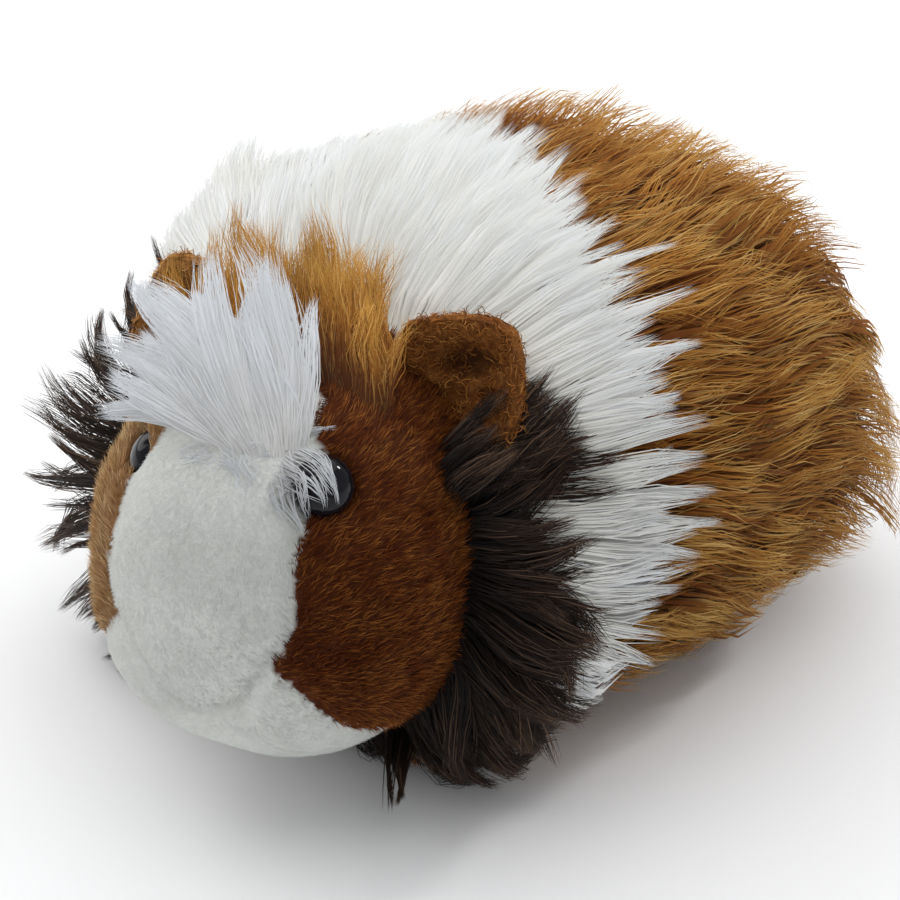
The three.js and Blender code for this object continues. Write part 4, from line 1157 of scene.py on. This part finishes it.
# -------------------------------------------------------------------- ears
def ear_surface(side):
    e = EAR
    base, up, face, across = ear_frame(side)
    nu, rings = 84, []
    hw, hh = e["width"] / 2, e["height"] / 2
    a = 2 * np.pi * np.arange(nu) / nu
    ox = np.sign(np.cos(a)) * np.abs(np.cos(a)) ** (2 / 3.3)
    oy = np.sign(np.sin(a)) * np.abs(np.sin(a)) ** (2 / 3.3)
    tc, ts = math.cos(28 * DEG), math.sin(28 * DEG) * side     # the square is turned in its own plane
    ox, oy = ox * tc + oy * ts, oy * tc - ox * ts
    # from the middle of the back, round the rolled rim, to the middle of the front
    steps = [(s, -1) for s in np.linspace(0.06, 0.93, 11)] + [(r, z) for r, z in zip(
        0.93 + 0.07 * np.cos(np.linspace(-1.35, 1.35, 7)), np.sin(np.linspace(-1.35, 1.35, 7)))] \
        + [(s, 1) for s in np.linspace(0.93, 0.06, 11)]
    for s, z in steps:
        x, y = ox * hw * s, oy * hh * s
        bend = -e["cup"] * (1 - (x / hw) ** 2) + 2.2 * np.clip((y + hh) / e["height"], 0, 1) ** 2
        across_, rise_ = (x * tc - y * ts) * side, y * tc + x * ts
        bend = bend - 3.0 * np.exp(-(((rise_ + 0.5) / 6.4) ** 2 + ((across_ + 3.0) / 3.1) ** 2) ** 1.4)
        half = e["thick"] / 2 * mix(0.8, 1.0, smooth(0.55, 0.9, s))
        d = bend + z * half
        if z > 0.5:
            # a thick rolled rim, and folds of cloth below the hollow
            d = d + 1.2 * np.exp(-((s - 0.80) / 0.13) ** 2) * smooth(-hh, 0.0, y)
            d = d + 1.2 * np.exp(-((across_ - 1.4 - 0.15 * rise_) / 1.3) ** 2) * smooth(0.85, 0.4, s)
            d = d - 0.9 * np.exp(-(((across_ - 4.0) / 0.9) ** 2 + ((rise_ - 5.0) / 3.5) ** 2))
        rings.append(base + across * x[:, None] + up * y[:, None] + face * d[:, None])
    v = np.concatenate(rings)
    m = len(rings)
    i, j = np.meshgrid(np.arange(m - 1), np.arange(nu), indexing="ij")
    q = np.stack([i * nu + j, i * nu + (j + 1) % nu, (i + 1) * nu + (j + 1) % nu, (i + 1) * nu + j], -1).reshape(-1, 4)
    centre_a, centre_b = v[:nu].mean(0), v[-nu:].mean(0)
    v = np.concatenate([v, [centre_a, centre_b]])
    k = np.arange(0, nu, 2)
    caps = np.concatenate([np.stack([np.full(len(k), m * nu), (k + 2) % nu, k + 1, k], 1),
                           np.stack([np.full(len(k), m * nu + 1), (m - 1) * nu + k, (m - 1) * nu + k + 1, (m - 1) * nu + (k + 2) % nu], 1)])
    q = np.concatenate([q, caps])
    # outward direction of each point, from its faces
    fn = np.cross(v[q[:, 2]] - v[q[:, 0]], v[q[:, 3]] - v[q[:, 1]])
    n = np.zeros_like(v)
    for c in range(4):
        np.add.at(n, q[:, c], fn)
    n = unit(n)
    if (n[:nu] @ face).mean() > 0:
        n, q = -n, q[:, ::-1]
    lump = 0.35 * np.sin(v[:, 0] / 0.9 + v[:, 2] / 1.3) * np.sin(v[:, 1] / 1.1 - v[:, 2] / 0.8) + 0.3 * np.sin(v[:, 0] / 2.1 - v[:, 1] / 1.7 + v[:, 2] / 1.5)
    x, y = (v - base) @ across, (v - base) @ up
    across_, rise_ = (x * tc - y * ts) * side, y * tc + x * ts
    # painted shade: a mask of the ear's hollow, where cloth and curls are darkened
    hollow_shade = np.exp(-(((rise_ + 0.5) / 6.0) ** 2 + ((across_ + 2.6) / 2.9) ** 2) ** 1.3) * ((n @ face) > 0)
    return v + n * (lump - 0.9)[:, None], q, n, base, up, face, hollow_shade


def curls(P, n, rng, length, radius, K, height):
    """Short fibres curled flat against the cloth, as felted pile."""
    N = len(P)
    ref = unit(np.cross(n, np.array([0.3, 0.5, 0.81])))
    a0 = rng.random(N) * 2 * np.pi
    bend = rng.choice([-1.0, 1.0], N) * rng.uniform(1.2, 3.4, N)
    out = [P - n * 0.2]
    for k in range(1, K + 1):
        a = a0 + bend * (k - 0.5) / K
        step = rotate(ref, n, a) * (length / K)[:, None]
        out.append(out[-1] + step)
    t = np.linspace(0, 1, K + 1)
    lift = np.sin(np.pi * np.clip(t * 0.85, 0, 1))
    c = np.stack(out, 1) + n[:, None, :] * (height[:, None] * lift[None])[..., None]
    return c


def felt_material(name="ear_felt", lit_share=0.0):
    m, nt, bsdf = nodes_of(name)
    n1, n2, n3 = noise(nt, 420.0, 5.0, 0.7), noise(nt, 110.0, 3.0), noise(nt, 1500.0, 2.0)
    col = ramp(nt, n1, [(0.3, C(84, 45, 18)), (0.5, C(130, 77, 33)), (0.68, C(178, 120, 62))])
    col = mix_color(nt, math_node(nt, "MULTIPLY", n2, 0.6), col, C(74, 40, 20))
    # painted shade: the cloth is darkened towards a deep brown in the ear's hollow
    at = nt.nodes.new("ShaderNodeAttribute")
    at.attribute_name = "hollow_shade"
    col = mix_color(nt, math_node(nt, "MULTIPLY", at.outputs["Fac"], 0.9), col, C(50, 25, 11))
    # painted light: the cloth is mixed towards a lighter brown, a lit copy of the felt
    if lit_share > 0:
        col = mix_color(nt, lit_share, col, C(178, 128, 72))
    nt.links.new(col, bsdf.inputs["Base Color"])
    bsdf.inputs["Roughness"].default_value = 0.9
    bsdf.inputs["Sheen Weight"].default_value = 0.06
    bsdf.inputs["Specular IOR Level"].default_value = 0.1
    bsdf.inputs["Sheen Tint"].default_value = C(255, 205, 150)
    bump = nt.nodes.new("ShaderNodeBump")
    bump.inputs["Strength"].default_value = 0.9
    bump.inputs["Distance"].default_value = 0.0012
    nt.links.new(math_node(nt, "ADD", n1, math_node(nt, "MULTIPLY", n3, 0.3)), bump.inputs["Height"])
    nt.links.new(bump.outputs["Normal"], bsdf.inputs["Normal"])
    return m


# the far, right ear gets the lit copy of the felt and curls: painted light
FELT = {1: felt_material(), -1: felt_material("ear_felt_lit", 0.55)}
for side, word in ((1, "left"), (-1, "right")):
    v, q, n, base, up, face, hollow_shade = ear_surface(side)
    ear, _ = build_mesh("ear_" + word + "_cloth", v, [q])
    a = ear.data.attributes.new("hollow_shade", "FLOAT", "POINT")
    a.data.foreach_set("value", hollow_shade.astype(np.float32))
    ear.data.materials.append(FELT[side])
    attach(ear, "root")
    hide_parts("ear_" + word)
    rng = np.random.default_rng(140 + side)
    surface = Surface(v, q, n)
    P, nn = surface.scatter(rng, 2200, lambda p: np.ones(len(p)))
    N = len(P)
    # painted shade: curls rooted in the hollow get a low lock-middle value, so a darker colour
    hollow_shade_at_root = hollow_shade[nearest(P, v)]
    c = curls(P, nn, rng, rng.uniform(1.8, 4.4, N), None, 3, rng.uniform(0.15, 0.7, N))
    d = P - base
    uv = stretch(np.stack([np.arctan2(d @ np.cross(up, face), d @ up) / (2 * np.pi) + 0.5, np.linalg.norm(d, axis=1) / 20.0], 1))
    coat_piece("coat_ear_" + word, "ear" if side > 0 else "ear_lit", "ear_curl", c, nn, rng.uniform(0.09, 0.16, N), uv, rng.random(N), flat=0.9, shade=0.5,
               extra=1.0 - hollow_shade_at_root)


# -------------------------------------------------------------------- eyes
def eye_material():
    m, nt, bsdf = nodes_of("eye_plastic")
    n1 = noise(nt, 260.0, 3.0)
    nt.links.new(ramp(nt, n1, [(0.35, (0.003, 0.003, 0.005, 1)), (0.7, (0.007, 0.007, 0.010, 1))]), bsdf.inputs["Base Color"])
    nt.links.new(math_node(nt, "MULTIPLY_ADD", noise(nt, 700.0, 2.0), 0.06, 0.03), bsdf.inputs["Roughness"])
    bsdf.inputs["Specular IOR Level"].default_value = 0.2
    return m


EYE_MAT = eye_material()
for side in EYES:
    c, n = eye_frame(side)
    if side == "right":
        c = c - n * 3.1
    ax = unit(np.cross(n, UP))
    ay = np.cross(n, ax)
    arc = np.linspace(0, math.pi / 2, 15)[:-1]
    prof = [(4.6, -3.6), (5.6, -3.4), (6.1, -2.6), (6.2, -1.2)] + [(EYE_R * math.cos(a), EYE_DEPTH * math.sin(a)) for a in arc]
    nu = 56
    a = 2 * np.pi * np.arange(nu) / nu
    ring = ax[None] * np.cos(a)[:, None] + ay[None] * np.sin(a)[:, None]
    v = np.concatenate([c + ring * r + n * h for r, h in prof] + [[c + n * EYE_DEPTH], [c - n * 3.6]])
    m = len(prof)
    i, j = np.meshgrid(np.arange(m - 1), np.arange(nu), indexing="ij")
    q = np.stack([i * nu + j, i * nu + (j + 1) % nu, (i + 1) * nu + (j + 1) % nu, (i + 1) * nu + j], -1).reshape(-1, 4)
    k = np.arange(nu)
    t = np.concatenate([np.stack([(m - 1) * nu + k, (m - 1) * nu + (k + 1) % nu, np.full(nu, m * nu)], 1),
                        np.stack([(k + 1) % nu, k, np.full(nu, m * nu + 1)], 1)])
    if np.dot(np.cross(ring[0], ring[1]), n) < 0:
        q, t = q[:, ::-1], t[:, ::-1]
    eye, _ = build_mesh("eye_" + side + "_dome", v, [q, t])
    eye.data.materials.append(EYE_MAT)
    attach(eye, "root")
    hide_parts("eye_" + side)

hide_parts("forelock")
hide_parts("crown")


# -------------------------------------------------------------------- light
world = bpy.data.worlds.new("world")
bpy.context.scene.world = world
world.use_nodes = True
bg = world.node_tree.nodes["Background"]
bg.inputs["Color"].default_value = (0.975, 0.985, 1.0, 1.0)
bg.inputs["Strength"].default_value = 0.55


def area(name, loc, target, size, power, color=(1, 1, 1)):
    d = bpy.data.lights.new(name, "AREA")
    d.shape, d.size, d.energy, d.color = "DISK", size, power, color
    o = bpy.data.objects.new(name, d)
    bpy.context.scene.collection.objects.link(o)
    o.location = Vector(loc)
    o.rotation_euler = (Vector(loc) - Vector(target)).to_track_quat("Z", "Y").to_euler()
    return o


area("top", (-0.3, 0.3, 2.0), (0, 0, 0.05), 3.6, 34.0, (0.985, 0.99, 1.0))
area("key", (-1.25, -0.15, 0.8), (0, 0, 0.05), 1.4, 9.0, (1.0, 0.99, 0.97))
area("glint", (0.38, 0.89, 0.87), (0.025, -0.085, 0.085), 0.18, 3.0)

floor_me = bpy.data.meshes.new("floor")
floor_me.from_pydata([(-6, -6, 0), (6, -6, 0), (6, 6, 0), (-6, 6, 0)], [], [(0, 1, 2, 3)])
floor = bpy.data.objects.new("floor", floor_me)
bpy.context.scene.collection.objects.link(floor)
fm, fnt, fb = nodes_of("floor_paper")
fb.inputs["Base Color"].default_value = (0.93, 0.932, 0.935, 1)
fb.inputs["Roughness"].default_value = 0.9
floor_me.materials.append(fm)

bpy.context.scene.view_settings.view_transform = "Standard"
bpy.context.scene.view_settings.look = "None"
